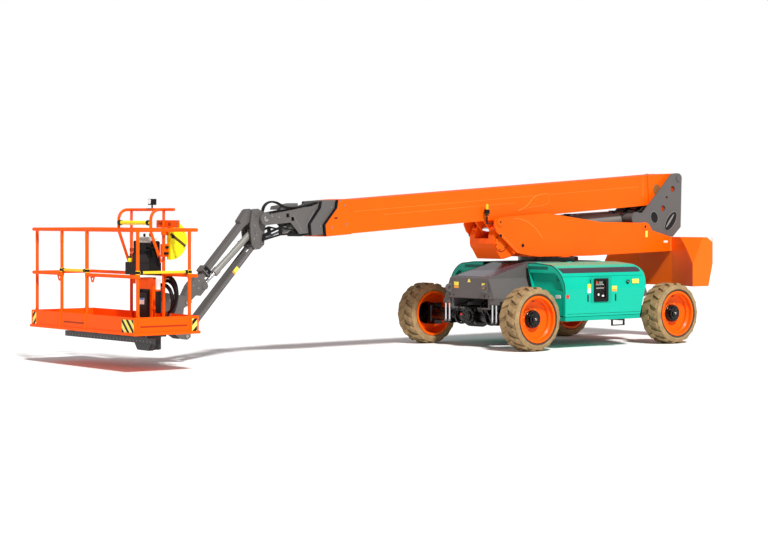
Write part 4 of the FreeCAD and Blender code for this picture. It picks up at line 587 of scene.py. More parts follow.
for name, mat, x, z, w, h in (("a", "label_yellow", 361, 852, 72, 60), ("b", "label_white", 361, 789, 72, 60),
        ("c", "label_yellow", -118, 826, 95, 40), ("d", "label_amber", -118, 789, 95, 32)):
    sticker("cover_label_" + name, mat, "hood_left", P(x, BOX_OUTER, z), w, h, UY)

# ------------------------------------------------------------------ ground control panel
SUNK = BOX_OUTER - 2         # face of the panel
panel = "ground_panel"
outline = rounded(272, 318, 18, (148 + SLEW_X, 796))
Piece("panel_bezel", "black_plastic", panel).frame(outline, rounded(188, 242, 6, (157 + SLEW_X, 803)),
    (0, BOX_OUTER + 16.5, 0), UX, UZ, 6.2).done()
outline = rounded(276, 322, 18, (148 + SLEW_X, 796))
Piece("panel_surround", "turquoise_steel", "hood_left").frame(rounded(392, 362, 20, (138 + SLEW_X, 803)), outline,
    (0, BOX_OUTER + 5.5, 0), UX, UZ, 7.5).done()
stop = P(226, SUNK, 898)
Piece("panel_stop_base", "label_yellow", panel).plug(stop, UY, 22, 0, 3).done()
Piece("panel_stop", "red_lens", panel).turned([(0, 0), (9, 0), (9, 8), (17, 10), (18, 15), (13, 19), (0, 20)], stop,
    UY).done()
Piece("panel_screen", "screen_glass", panel).side_plate(rounded(72, 44, 4, (150, 893)), 1, SUNK + 4, 5.5, 1).done()
switches = Piece("panel_switches", "steel", panel)
boots = Piece("panel_boots", "hose", panel)
for i in range(5):
    for z in (846, 800):
        at = P(233 - 36 * i, SUNK, z)
        boots.plug(at, UY, 8.5, 0, 6, 3.5, 3, 12)
        tip = at + Vector((0, 16, 6 if (i + int(z)) % 2 else -5))
        switches.rod([at + UY * 4, tip], 2.8)
dial = P(190, SUNK, 733)
boots.turned([(0, 0), (24, 0), (24, 6), (21, 8), (19, 4), (0, 4)], dial, UY)
boots.plug(P(110, SUNK, 753), UY, 12, 0, 8, 6, 2, 16).done()
switches.rod([P(110, SUNK + y, 753) for y in (6, 18)], 4).done()
dials = Piece("panel_gauge", "label_white", panel).disc(dial + UY * 3, UY, 17.5, 2)
for w, h, r, at in ((150, 5, 2, (160, 868)), (150, 5, 2, (160, 822)), (40, 22, 3, (102, 715))):
    dials.side_plate(rounded(w, h, r, at), 1, SUNK + 0.8, 1)
dials.done()

# ------------------------------------------------------------------ frame nose, axles, slewing ring
NOSE = 1490
for name, mat, y, z, w, h in (("a", "label_yellow", -268, 872, 100, 52), ("b", "label_amber", -268, 826, 100, 30),
        ("c", "label_yellow", 296, 868, 62, 45), ("d", "label_amber", 296, 826, 62, 30)):
    sticker("nose_label_" + name, mat, "chassis_frame", P(NOSE, y, z), w, h, UX)
Piece("nose_label_e", "label_yellow", "chassis_frame").end_plate([(-36, 898), (36, 898), (0, 949)], NOSE - 2,
    3.2).done()
for tag, end in (("front", 1), ("rear", -1)):
    slope = Vector((end * 850, 0, -220)).normalized()
    normal = Vector((end * 220, 0, 850)).normalized()
    top = P(end * 640, 0, 1175)
    Piece("nose_cover_" + tag, "gloss_grey", "chassis_frame").prism(rounded(700, 740, 30, (460, 0)), top - normal * 2,
        slope, normal.cross(slope), 6, 1.5).done()
    screws = Piece("nose_screws_" + tag, "steel", "chassis_frame")
    for s in (140, 460, 780):
        for y in (-345, 345):
            screws.bolt(top + slope * s + UY * y + normal * 4, normal, 8, 6)
    screws.done()
    pads = Piece("nose_rivets_" + tag, "black_paint", "chassis_frame")
    for y in (-400, -320, 320, 400):
        pads.bolt(P(end * NOSE, y, 715), UX * end, 8, 6)
    pads.done()
rods = Piece("lock_rods", "rod_chrome", "front_axle")
nuts = Piece("lock_rod_nuts", "steel", "front_axle")
axle = Piece("axle_bolts", "black_paint", "front_axle")
lines = Piece("axle_hoses", "hose", "front_axle")
axle.ring_of_bolts(P(1515, 0, WHEEL_R), UX, 102, 12, 8, 10)
axle.ring_of_bolts(P(1535, 0, WHEEL_R), UX, 50, 6, 8, 10)
for side in SIDES:
    for y in (450, 530):
        at = P(1452, side * y, 0)
        rods.turned([(13.8, 362), (16.2, 364), (16.2, 594), (13.8, 597)], at, UZ, 16)
        nuts.collar(at, UZ, 13.9, 25, 344, 362, n=6)
    axle.collar(P(AXLE_X, side * 300, WHEEL_R), UY * side, 98, 128, 0, 24, n=32)
    axle.ring_of_bolts(P(AXLE_X, side * 324, WHEEL_R), UY * side, 114, 12, 7, 9)
    lines.tube(pts(0, (1280, side * 200, 640), (1360, side * 240, 600), (1445, side * 300, 550),
        (1460, side * 355, 470), (1440, side * 400, 420)), 10, 8)
    lines.tube(pts(0, (1280, side * 140, 640), (1380, side * 170, 620), (1470, side * 220, 560),
        (1475, side * 260, 480), (1435, side * 310, 410)), 9, 8)
for part in (rods, nuts, axle):
    part.done()
rear = Piece("axle_bolts_rear", "black_paint", "rear_axle")
for side in SIDES:
    rear.ring_of_bolts(P(-AXLE_X, side * 120, WHEEL_R), UY * side, 125, 12, 8, 10)
rear.done()
Piece("axle_cap", "red_lens", "front_axle").plug(P(AXLE_X, -200, WHEEL_R), (1, 0, 0.15), 18, 92, 118, 6, 6, 18).done()
lines.done()
Piece("ring_bolts", "steel", "slew_ring").ring_of_bolts(P(0, 0, 1230), UZ, 402, 28, 9, 7).done()

# ------------------------------------------------------------------ turret
SIDE = 325         # outer face of the side plates
turret = "turret_frame"
WELD = ((951, 1770), (860, 1772), (763, 1750), (670, 1718), (593, 1668), (530, 1625), (479, 1574), (414, 1500))
FLANGE = ((-400, 1243), (540, 1243), (600, 1252), (600, 1262), (530, 1256), (-400, 1256))
for hand, side in HANDS:
    out, face = UY * side, side * SIDE
    Piece("turret_weld_" + hand, "orange_weld", turret).tube([P(x, face, z) for x, z in WELD], 5.5, 8).done()
    Piece("turret_patch_" + hand, "orange_paint", turret).plug(P(851, face, 1403), out, 53, -2, 2, 2, 0.8, 36).done()
    Piece("turret_plug_" + hand, "black_plastic", turret).plug(P(785, face, 1402), out, 26, -3, 5, 4, 1.5).done()
    bolts = Piece("turret_bolts_" + hand, "black_paint", turret)
    bolts.bolt(P(1192, face, 1543), out, 15, 12)
    bolts.disc(P(1210, side * 339, 1729), out, 14, 4)
    bolts.bolt(P(-1637, face, 1655), out, 20, 14).done()
    Piece("turret_boss_" + hand, "orange_paint", turret).plug(P(-1637, face, 1655), out, 60, -4, 8, 5, 3, 36).done()
    Piece("turret_seam_" + hand, "orange_weld", turret).rod([P(1205, face, 1575), P(860, face, 1300)], 5).done()
    Piece("turret_flange_" + hand, "orange_paint", turret).side_plate(FLANGE, side, SIDE - 4, 46, 2).done()
    sticker("turret_label_" + hand, "label_yellow", turret, P(-1670, face, 1548), 45, 95, out)
    sticker("turret_plate_" + hand, "label_white", turret, P(-2075, face, 1433), 85, 30, out)
    Piece("turret_edge_weld_" + hand, "orange_weld", turret).rod([P(-2186, face, z) for z in (1492, 1300)], 6).done()
    at = P(1130, side * 262, 1440)
    Piece("housing_seam_" + hand, "black_plastic", "front_box").collar(at, out, 112, 116.5, -2, 2.2,
        n=48).ring_of_bolts(at, out, 95, 6, 7, 7).done()
    fits = Piece("housing_fittings_" + hand, "orange_paint", "front_box")
    for i in range(3):
        fits.turned([(0, -20), (16, -20), (16, 12), (11, 16), (11, 34), (0, 34)],
            P(1205 - 30 * (i % 2), side * (158 + 32 * i), 1628), UZ, 14)
    fits.block(P(1135, side * 197 - 45, 1612), P(1225, side * 197 + 45, 1640)).done()
    Piece("weight_lines_" + hand, "orange_weld", "counterweight").rod([P(-2470, side * 880, 1350),
        P(-2505, side * 842, 1497)], 4).done()

# ------------------------------------------------------------------ tower and lift cylinder
TOWER_FACE, TOWER_BACK = 305, 280


def ellipse(cx, cz, long, short, tilt, n=32):
    """Points of an ellipse whose long axis is turned by tilt degrees from the x axis."""
    c, s = math.cos(math.radians(tilt)), math.sin(math.radians(tilt))
    ring = [(long * math.cos(t), short * math.sin(t)) for t in turns(n)]
    return [(cx + a * c - b * s, cz + a * s + b * c) for a, b in ring]


for hand, side in HANDS:
    patch = Piece("tower_patch_" + hand, "grey_paint", "tower")
    for line in ([(-2265, 1585), (-2145, 1645), (-2135, 1900), (-2265, 1815)],
            [(-1905, 1690), (-1785, 1775), (-1775, 1875), (-1905, 1775)]):
        patch.side_plate(line, side, TOWER_FACE - 1, 3)
    patch.done()
    # black ellipses on the face: painted shade for the dark inside of the openings
    dark = Piece("tower_opening_shade_" + hand, "black_paint", "tower")
    lips = Piece("tower_lips_" + hand, "grey_weld", "tower")
    for cx, cz, long, short, tilt in ((-1851, 1790, 88, 70, 60), (-2200, 1735, 168, 80, 131)):
        hole = ellipse(cx, cz, long, short, tilt)
        dark.side_plate(hole, side, TOWER_FACE + 0.8, 2.6)
        lips.frame(ellipse(cx, cz, long + 6, short + 6, tilt), hole, P(0, side * (TOWER_FACE + 0.6), 0), UX, UZ,
            -5.5 * side)
    dark.done()
    lips.side_plate(ellipse(-2185, 1742, 130, 16, 131), side, TOWER_FACE + 2.2, 2.8).done()
    # dark orange discs behind the small holes: painted shade of what is seen through them
    back = Piece("tower_hole_shade_" + hand, "orange_shade", "tower")
    for x, z, r in ((-2246, 2211, 50), (-2118, 2084, 26), (-2043, 1921, 50)):
        back.plug(P(x, side * TOWER_BACK, z), UY * side, r, -2, 0.5)
    back.done()

lines = Piece("tower_hoses", "hose", "tower")
for i, y in enumerate((-150, -100, 100, 140, 180)):
    dz = 14 * (i % 3)
    lines.tube(pts(0, (-1660, y, 1800 + dz), (-1690, y, 1880 + dz), (-1770, y + 10, 1935 + dz / 2),
        (-1870, y + 10, 1955 - dz), (-1960, y, 1930 - dz), (-2020, y, 1860 - dz), (-2030, y, 1740), (-1990, y, 1620)),
        17)
for y in (40, -40):
    lines.tube(pts(0, (-1800, y, 1620), (-1830, y, 1750), (-1900, y, 1820), (-1990, y, 1780), (-2040, y, 1640)), 14)
lines.done()
Piece("tower_clamps", "black_plastic", "tower").block(P(-1800, -262, 1895), P(-1760, 262, 1915)).done()

LIFT_BASE, ROD_PIN = P(-1486, 0, 1774), on_boom(3505, -490)
ram_axis = (ROD_PIN - LIFT_BASE).normalized()
ram_up = Vector((-ram_axis.z, 0, ram_axis.x))
pipe = Piece("lift_pipes", "steel", "lift_barrel")
for y in (28, -28):
    run = ((200, 108), (1100, 112), (2050, 108))
    pipe.tube([LIFT_BASE + ram_axis * s + ram_up * t + UY * y for s, t in run], 10, 8)
pipe.done()
port = Piece("lift_ports", "black_paint", "lift_barrel")
for s in (190, 1100, 2040):
    port.prism([(-30, 90), (30, 90), (30, 128), (-30, 128)], LIFT_BASE + ram_axis * s + UY * 50, ram_axis, ram_up,
        100, 4)
port.done()

# ------------------------------------------------------------------ boom
DOUBLER = [(770, 1883), (619, 1943), (550, 1995), (497, 2052), (430, 2092), (352, 2113), (200, 2130), (180, 2112),
    (179, 2037), (196, 1995), (229, 1972), (562, 1929)]
for hand, side in HANDS:
    out = UY * side
    Piece("boom_doubler_" + hand, "orange_paint", "boom_base").side_plate(DOUBLER, side, 208, 6.5, 2).done()
    Piece("boom_doubler_weld_" + hand, "orange_weld", "boom_base").rod(
        [P(x, side * 211, z) for x, z in DOUBLER + DOUBLER[:1]], 4.2, 6).done()
    Piece("boom_disc_" + hand, "bronze", "boom_base").disc(P(-1990, side * 224, 2205), out, 76, 4, 40).done()
    Piece("boom_end_weld_" + hand, "orange_weld", "boom_base").rod([P(-1715, side * 210, z) for z in (2385, 2100)],
        3.8, 6).done()
    seams = Piece("boom_seams_" + hand, "orange_weld", "boom_base")
    for t, s0, s1 in ((-75, 750, 6050), (-150, 3200, 5550)):
        seams.rod([on_boom(s, t, side * 209.8) for s in (s0, s1)], 2.2, 6)
    seams.done()
    heads = Piece("boom_head_bolts_" + hand, "steel", "boom_base")
    for x, z in ((3905, 2008), (3823, 1955), (3807, 1708), (4035, 1665)):
        heads.bolt(P(x, side * 228, z), out, 10, 8)
    heads.done()
    Piece("boom_slot_" + hand, "black_plastic", "boom_base").prism(rounded(52, 20, 9, along_boom(3970, 1786)),
        on_boom(0, 0, side * 227.5), BOOM_AXIS, BOOM_UP, -2.2 * side).done()

# ------------------------------------------------------------------ boom heads
for step, node, low in ((0, "boom_base", -360), (1, "boom_mid", -338)):
    half = 228 - 28 * step            # outer face of the head
    start, less = 6310 + step * 244, 30 * step
    edge = [(start + 15, 94), (start + 39, -9 + less / 2), (start + 247 - less, -215 + less),
        (start + 240 - less, low)]
    for hand, side in HANDS:
        band = Piece("head_band_%d_%s" % (step, hand), "hose", node)
        for front, back, y, depth, bevel in ((0, -20, half - 2, 6.2, 1), (4, -6, half - 26, 30, 0)):
            line = [(s + front, t) for s, t in edge] + [(s + back, t) for s, t in edge[::-1]]
            band.prism(line, on_boom(0, 0, side * y), BOOM_AXIS, BOOM_UP, -depth * side, bevel)
        for (s0, t0), (s1, t1) in zip(edge, edge[1:]):
            count = max(1, int(math.hypot(s1 - s0, t1 - t0) / 34))
            for k in range(count):
                f = (k + 0.5) / count
                at = on_boom(s0 + (s1 - s0) * f - 11, t0 + (t1 - t0) * f, side * (half + 3))
                band.bolt(at, UY * side, 6, 4.5)
        band.done()
for hand, side in HANDS:
    out = UY * side
    dots = Piece("mid_head_bolts_" + hand, "steel", "boom_mid")
    for x, z in ((4027, 1924), (3905, 1944), (4198, 1678), (4060, 1680)):
        dots.bolt(P(x, side * 200, z), out, 9, 7)
    dots.done()
    dots = Piece("fly_bolts_" + hand, "steel", "boom_fly")
    for s, t in ((7330, -45), (7220, -65), (7400, -110)):
        dots.bolt(on_boom(s, t, side * 170), out, 12, 9)
    dots.done()
    Piece("fly_pin_cap_" + hand, "steel", "boom_fly").plug(on_boom(7428, -75, side * 184), out, 36, -3, 10, 6, 4,
        28).done()
    fold = Piece("fly_fold_" + hand, "grey_weld", "boom_fly")
    for run in (((6800, -210), (6660, -30)), ((7000, -60), (6860, -290))):
        fold.rod([on_boom(s, t, side * 170) for s, t in run], 3.5, 6)
    fold.done()

# hoses on the fly section and the loop over the knuckle
PIVOT_X, PIVOT_Z = 5040.6, 1775.6         # pivot of the knuckle
lines = Piece("fly_hoses", "hose", "boom_fly")
for i, y in enumerate((135, 105)):
    lines.tube(pts(0, (4200, y, 1985), (4360, y, 1950 - 4 * i), (4500, y, 1925), (4620, y, 1917), (4713, y, 1927),
        (4770, y, 1952), (4835, y - 10, 1983), (4905, y - 20, 1993), (4965, y - 30, 1974), (5005, y - 35, 1935),
        (5022, y - 40, 1890)), 12.5)
lines.done()
lines = Piece("knuckle_hoses", "hose", "jib_knuckle")
for i, y in enumerate((95, 70)):
    lines.tube(pts(0, (5022, y, 1892), (5032, y, 1865), (5060, y - 5, 1850), (5105, y - 10, 1872 - 8 * i)), 12.5)
lines.done()
under = Piece("level_hoses", "hose", "level_barrel")
level_base = on_boom(6467, -87)
level_axis = (P(PIVOT_X + 20, 0, PIVOT_Z - 300) - level_base).normalized()
level_side = Vector((-level_axis.z, 0, level_axis.x))
for y in (50, -50):
    run = ((60, 0, y), (160, -30, y * 1.1), (300, -50, y), (400, -42, y * 0.6))
    under.tube([level_base + level_axis * s + level_side * t + UY * b for s, t, b in run], 10, 8)
under.done()

# ------------------------------------------------------------------ jib
arm = Piece("upper_arm_hoses", "hose", "jib_upper_arm")
for i, y in enumerate((-60, -72)):
    d = 20 * i
    run = ((170, -22, -2), (300, -26 - d, 0), (620, -24 - d, 0), (920, -24 - d, -16), (1100, -36 - d, -14),
        (1300, -50 - d / 2, 0), (1450, -50, 0))
    arm.tube([on_jib(s, t, y + dy) for s, t, dy in run], 10.5, 8)
arm.done()
for s in (500, 780):
    Piece("arm_clamp_%d" % round(s / 10), "black_plastic", "jib_upper_arm").prism([(s - 12, 30), (s + 12, 30),
        (s + 12, -62), (s - 12, -62)], on_jib(0, 0, -53), JIB_AXIS, JIB_OUT, 34, 3).done()
RAM_FOOT = P(PIVOT_X + 95, 0, PIVOT_Z - 160)
for hand, side in HANDS:
    out = UY * side
    bolts = Piece("arm_bolts_" + hand, "steel", "jib_upper_arm")
    for s, t, y in ((1170, 30, 55), (1270, 50, 55), (1240, -30, 55), (1010, 30, 67)):
        bolts.bolt(on_jib(s, t, side * y), out, 9, 8)
    bolts.done()
    band = Piece("arm_sleeve_band_" + hand, "black_plastic", "jib_upper_arm")
    for s, wide in ((967, 52), (1040, 12)):
        band.prism([(s, -32), (s + wide, -32), (s + wide, 87), (s, 87)], on_jib(0, 0, side * 66), JIB_AXIS, JIB_OUT,
            -4 * side, 1)
    band.done()
    Piece("lower_arm_weld_" + hand, "grey_weld", "jib_lower_arm").rod([on_jib(s, 0, side * 77,
        JIB_DROP) for s in (100, 1400)], 2.2, 6).done()
    for node, pin, reach in (("jib_knuckle", on_jib(0, 0), 107.5), ("jib_knuckle", on_jib(0, 0, 0, JIB_DROP), 107.5),
            ("jib_head", on_jib(1500, 0), 112), ("jib_head", on_jib(1500, 0, 0, JIB_DROP), 112),
            ("jib_knuckle", RAM_FOOT, 107.5)):
        cap = Piece("pin_cap_%s_%s_%d" % (node, hand, round(pin.z)), "steel", node)
        cap.plug(pin + out * reach, out, 24, -4, 3, 4, 1.5)
        cap.prism([(-12, -50), (12, -50), (12, 0), (-12, 0)], pin + out * (reach - 6.5), UX, UZ, -6 * side, 1).done()
arm_s = along(P(5483, 0, 1192), on_jib(0, 0, 0, JIB_DROP), JIB_AXIS, JIB_OUT)[0]
for i, (mat, ds, w) in enumerate((("label_yellow", 0, 75), ("label_amber", 52, 20))):
    Piece("arm_label_%d" % i, mat, "jib_lower_arm").prism(rounded(w, 50, 4, (arm_s + ds, 0)),
        on_jib(0, 0, 76.8, JIB_DROP), JIB_AXIS, JIB_OUT, -2.5).done()
mount = Piece("barrel_fittings", "steel", "jib_barrel")
run = on_jib(1160, -82) - RAM_FOOT
ram_axis = run.normalized()
ram_up = Vector((-ram_axis.z, 0, ram_axis.x))
last = run.length - 270
for s in (240, last):
    mount.plug(RAM_FOOT + ram_axis * s + ram_up * 32, ram_up, 12, 0, 18, 4, 2, 12)
mount.tube([RAM_FOOT + ram_axis * s + ram_up * t for s, t in ((240, 44), (300, 47), (500, 44), (last - 60, 46),
    (last, 44))], 4.5, 8).done()

# ------------------------------------------------------------------ platform
REAR, FRONT, HALF, FLOOR, TOE_TOP, MID = 6760, 7585, 1194, 470, 652, 1116
TOE_OUT = 27.2                          # outer face of the toe board, from the rail's middle
floor, rails = "platform_floor", "platform_rails"
GATE_POSTS, SIDE_POSTS = (-0.42 * HALF, 0.09 * HALF), (85, 787)
feet = Piece("post_feet", "rail_paint", floor)
spots = [(FRONT, y, 1, 0) for y in GATE_POSTS]
spots += [(REAR + x, side * HALF, 0, side) for x in SIDE_POSTS for side in SIDES]
for x, y, ax, ay in spots:
    feet.rod([P(x + ax * d, y + ay * d, z) for d, z in ((24, FLOOR - 18), (24, TOE_TOP - 30), (12, TOE_TOP + 12))],
        17.2, 14)
feet.done()
lugs = Piece("rail_lugs", "rail_paint", rails)
WIDE_LUG = (56, 18, -78), (26, 8, -56)
for x, y, (outer, inner) in ((FRONT, -560, WIDE_LUG), (FRONT, 235, WIDE_LUG),
        (REAR, 520, ((45, 14, -66), (17, 6, -44)))):
    rings = []
    for (top, low, deep), z in ((outer, MID - 10), (inner, MID - 36)):
        foot = MID - 10 + deep
        rings.append([(y - top, z), (y + top, z), (y + low, foot), (y - low, foot)])
    lugs.frame(*rings, P(x - 5, 0, 0), UY, UZ, 10)
lugs.end_plate([(-226, 985), (-150, 985), (-150, 1100), (-226, 1100)], REAR - 4, 8, 2).done()
# dark orange strips along the toe board: painted shade in its grooves
grooves = Piece("toe_groove_shade", "orange_shade", floor)
grooves.end_plate(rounded(545, 17, 7, (-137, 540)), FRONT + TOE_OUT - 2, 3)
for side in SIDES:
    grooves.side_plate(rounded(640, 20, 8, (7212, 543)), side, HALF + TOE_OUT - 2, 3)
grooves.done()


def cut(points, at, keep):
    """Outline cut at a = at; keep is 1 for the part above and -1 for the part below."""
    res = []
    for i, p in enumerate(points):
        q = points[(i + 1) % len(points)]
        inside_p, inside_q = (p[0] - at) * keep >= 0, (q[0] - at) * keep >= 0
        if inside_p:
            res.append(p)
        if inside_p != inside_q:
            f = (at - p[0]) / (q[0] - p[0])
            res.append((at, p[1] + (q[1] - p[1]) * f))
    return res


def hazard(name, origin, u, w, h, lean):
    """Yellow plate with slanted black bars, cut to the plate's outline."""
    origin, n = Vector(origin), u.cross(UZ)
    Piece(name, "hazard_yellow", floor).prism([(0, 0), (w, 0), (w, h), (0, h)], origin - n * 2, u, UZ, 3.4).done()
    bars = Piece(name + "_bars", "hazard_black", floor)
    pitch, thick, margin, narrow = 118, 52, 2, 4
    k = -8
    while k * pitch < w + h:
        a = k * pitch
        bar = [(a, 0), (a + thick, 0), (a + thick + lean * h, h), (a + lean * h, h)]
        bar = cut(cut(bar, margin, 1), w - margin, -1)
        if len(bar) > 2 and max(p[0] for p in bar) - min(p[0] for p in bar) > narrow:
            bars.prism(bar, origin + n * 0.6, u, UZ, 1.6)
        k += 1
    bars.done()


hazard("hazard_front_left", P(FRONT + TOE_OUT, 952, 476), UY, 262, 148, -1)
hazard("hazard_front_right", P(FRONT + TOE_OUT, -1185, 482), UY, 85, 148, 1)
hazard("hazard_side_left", P(REAR + 66, HALF + TOE_OUT, 470), -UX, 70, 150, 1)
hazard("hazard_side_right", P(REAR - 18, -(HALF + TOE_OUT), 478), UX, 80, 148, -1)


def collars(name, material, node, places, axis, inner, outer, low, high, edge=2, n=20):
    """One piece of equal rings at several places."""
    part = Piece(name, material, node)
    for at in places:
        part.collar(at, axis, inner, outer, low, high, edge, n)
    part.done()


GRIP, SLEEVE = (17.4, 22.5, -16, 16), (26.8, 28.5, 32, 62.5, 1.5, 24)
BAR_Z = MID + 47.3                      # middle of the gates' upper bar
collars("gate_collars", "black_plastic", "gate_side", [P(REAR + x, HALF, BAR_Z) for x in (130, 742)], UX, *GRIP)
collars("gate_sleeves", "soft_black", "gate_side", [P(REAR + x, HALF, MID) for x in SIDE_POSTS], UZ, *SLEEVE)
collars("gate_sleeves_front", "soft_black", "gate_front", [P(FRONT, y, MID) for y in GATE_POSTS], UZ, *SLEEVE)
collars("gate_collars_front", "black_plastic", "gate_front",
    [P(FRONT, y, BAR_Z) for y in (GATE_POSTS[0] + 50, GATE_POSTS[1] - 50)], UY, *GRIP)
collars("sensor_collars", "black_plastic", "sensor_bar", [P(REAR + 180, y, 1732) for y in (-205, 452)], UY, 25.2,
    32.5, -28, 28, n=24)
collars("post_bands", "orange_shade", rails, [P(REAR, -246, z) for z in (1400, 1330)], UZ, 19.8, 23.5, -22, 22)

leg_y, out_x, hoop_top, corner = 495, REAR + 180, 1890, 120
path = [P(x, leg_y, z) for x, z in ((REAR + 38, 1261), (out_x - 4, 1612), (out_x, 1650), (out_x, hoop_top - corner))]
for i in range(1, 9):
    t = math.radians(90.0 * i / 8)
    path.append(P(out_x - corner + corner * math.cos(t), leg_y, hoop_top - corner + corner * math.sin(t)))
Piece("hoop_leg", "rail_paint", "hoops").rod(path + [P(REAR, leg_y, hoop_top)], 18, 16).done()

# ------------------------------------------------------------------ console
C0, DECK = REAR + 21, 1531            # rear of the console and height of its top
console = "console"
Piece("console_panel", "panel_grey", console).prism([(105, 0), (425, 0), (405, 85), (105, 85)], P(C0 + 116, 0, 1492),
    UY, (-620, 0, 780), 8, 2).done()
knobs = Piece("console_joysticks", "black_plastic", console)
caps = Piece("console_knobs", "label_amber", console)
for y, h in ((165, 30), (300, 36)):
    at = P(C0 + 45, y, DECK)
    knobs.turned([(0, 0), (26, 0), (24, 8), (16, 14), (18, 20), (11, 28), (6, 34), (0, 34)], at, UZ, 20)
    knobs.rod([at + UZ * 30, at + UZ * h], 5.5)
    knobs.turned([(0, 0), (10, 0), (15, 12), (15, 30), (9, 40), (0, 42)], at + UZ * h, UZ, 16)
for y in (385, 425):
    caps.plug(P(C0 + 45, y, DECK), UZ, 10, 0, 12, 3, 4, 16)
knobs.done()
caps.done()
Piece("console_stop", "red_lens", console).turned([(0, 0), (11, 0), (11, 12), (22, 15), (23, 21), (16, 27), (0, 28)],
    P(C0 + 45, 238, DECK), UZ, 22).done()
Piece("console_shell", "soft_black", console).end_plate([(10, 1262), (462, 1262), (462, 1500), (445, 1514),
    (10, 1514)], C0 + 6, 105, 8).done()
cables = Piece("console_cables", "hose", console)
for i, (y, z) in enumerate(((430, 1440), (412, 1470), (452, 1400))):
    cables.tube(pts(C0, (50 + 20 * i, y - 30, z), (60 + 20 * i, y + 30, z + 35), (50, y + 50, z - 60),
        (40, y + 35, z - 170), (40, y - 10, z - 260 + 40 * i)), 12, 8)
cables.done()
face, face_out = Vector((103, 0, -250)).normalized(), Vector((250, 0, 103)).normalized()
start = P(C0 + 95, 0, 1530)
ribs = Piece("console_ribs", "soft_black", console)
for k in range(3):
    ribs.prism([(100, 0), (440, 0), (440, 30), (100, 30)], start + face * (40 + 55 * k), UY, -face, -4, 1.5)
for y in (165, 255, 345):
    ribs.plug(start + face * 160 + UY * y, face_out, 14, -2, 14, 5, 4, 14)
ribs.done()
horn = P(REAR + 155, -30, 1250.5)
Piece("console_horn", "yellow_plastic", console).plug(horn, UZ, 23, -4, 57, 4, 5).done()
Piece("console_horn_cap", "black_plastic", console).plug(horn, UZ, 24, 56, 74, 5, 6).done()
Piece("console_tray_edge", "soft_black", console).rod([P(C0 + 166, y, 1251.5) for y in (-70, 465)], 5.5).done()
Piece("console_lights", "red_lens", console).end_plate(rounded(30, 16, 4, (180, 1155)), C0 + 168.5, 3).done()


def blocks(name, material, node, *rows, x0=REAR, bevel=4):
    """One piece of boxes; rows are (x, y, z, x, y, z) with x from x0."""
    part = Piece(name, material, node)
    for r in rows:
        part.block(*pts(x0, r[:3], r[3:]), bevel)
    return part.done()


# column, papers, hoses and fittings behind the rear rail
column, drum = "platform_column", "storage_drum"
sticker("box_label", "label_white", "document_box", P(REAR + 217.5, 340, 795), 135, 75, UX, 3)
sticker("box_label_top", "label_blue", "document_box", P(REAR + 217.5, 340, 822), 115, 22, UX, 2, 2)
Piece("box_rim", "soft_black", "document_box").rod([P(REAR + 214, y, 902) for y in (254, 456)], 4).done()
blocks("column_foot", "pale_patch", column, (172, 215, 494, 182, 495, 560), bevel=3)
blocks("column_bracket", "rail_paint", column, (150, 500, 990, 172, 600, 1060), (150, 500, 700, 172, 590, 740),
    bevel=3)
at = P(REAR + 152, 612, 0)
Piece("column_tube", "label_white", column).plug(at, UZ, 30, 940, 1070, 8, 8).done()
Piece("column_tube_cap", "rail_paint", column).plug(at, UZ, 34, 920, 941).done()
blocks("column_post", "black_plastic", column, (135, 575, 660, 170, 660, 925), bevel=5)
loops = Piece("platform_hoses", "hose", rails)
for y, x, dz in ((615, -30, 0), (555, -60, -50), (510, -35, -100)):
    loops.tube(pts(REAR + x, (12, y - 100, 1085 + dz), (0, y - 30, 1083 + dz), (-5, y + 55, 1035 + dz),
        (-8, y + 100, 960 + dz), (-8, y + 112, 860 + dz), (-4, y + 85, 770 + dz), (0, y + 30, 700 + dz),
        (5, y - 40, 655)), 24, 10, True, 0.1, 8)
loops.done()
fits = Piece("hose_ends", "steel", floor)
for y in (470, 535, 600):
    fits.turned([(0, 0), (22, 0), (22, 22), (15, 26), (15, 52), (0, 52)], P(REAR - 27, y, 612), UZ, 6)
fits.done()

# ------------------------------------------------------------------ half-round cover: strap, rim and screws
DRUM_X, DRUM_Z, RIM_R, SCREW_R = REAR - 34.3, 1525, 228, 205


def on_drum(r, degrees, y):
    t = math.radians(degrees)
    return P(DRUM_X - r * math.cos(t), y, DRUM_Z + r * math.sin(t))


for y, side in ((595, 1), (515, -1)):
    tag = "_%d" % (side + 1)
    a, b = Vector((DRUM_X, 0, 1600)), Vector((DRUM_X - 216, 0, 1448))
    run = (b - a).normalized()
    wide = Vector((-run.z, 0, run.x)) * 17
    Piece("drum_strap" + tag, "dark_strap", drum).prism([(p.x + SLEW_X, p.z) for p in (a + wide, b + wide, b - wide,
        a - wide)], (0, y - 2 * side, 0), UX, UZ, -5 * side, 1).done()
    Piece("drum_rim" + tag, "yellow_plastic", drum).rod([on_drum(RIM_R, -86 + 172 * i / 28.0, y) for i in range(29)],
        5, 6).done()
    screws = Piece("drum_screws" + tag, "steel", drum)
    for degrees in (-70, -25, 25, 70):
        screws.bolt(on_drum(SCREW_R, degrees, y), UY * side, 5.5, 4)
    screws.done()
blocks("drum_buckle", "black_plastic", drum, (-50, 593, 1545, -12, 603, 1590), x0=DRUM_X, bevel=3)
blocks("drum_bracket", "rail_paint", "hoops", (-30, 514, 1325, 62, 562, 1480), (-30, 514, 1585, 50, 556, 1632))
blocks("drum_clamp", "soft_black", "hoops", (-20, 560, 1352, 40, 580, 1382), (-20, 560, 1425, 20, 580, 1455), bevel=3)
plate = Piece("hoop_plate_bolts", "steel", "hoops")
for y in (335, 765):
    for z in (1695, 1742):
        plate.bolt(P(REAR - 16, y, z), UX, 7, 6)
plate.done()
for i, (y, z, w, h) in enumerate(((410, 1722, 100, 30), (600, 1715, 60, 40))):
    sticker("hoop_label_%d" % i, "orange_shade", "hoops", P(REAR - 16, y, z), w, h, UX)

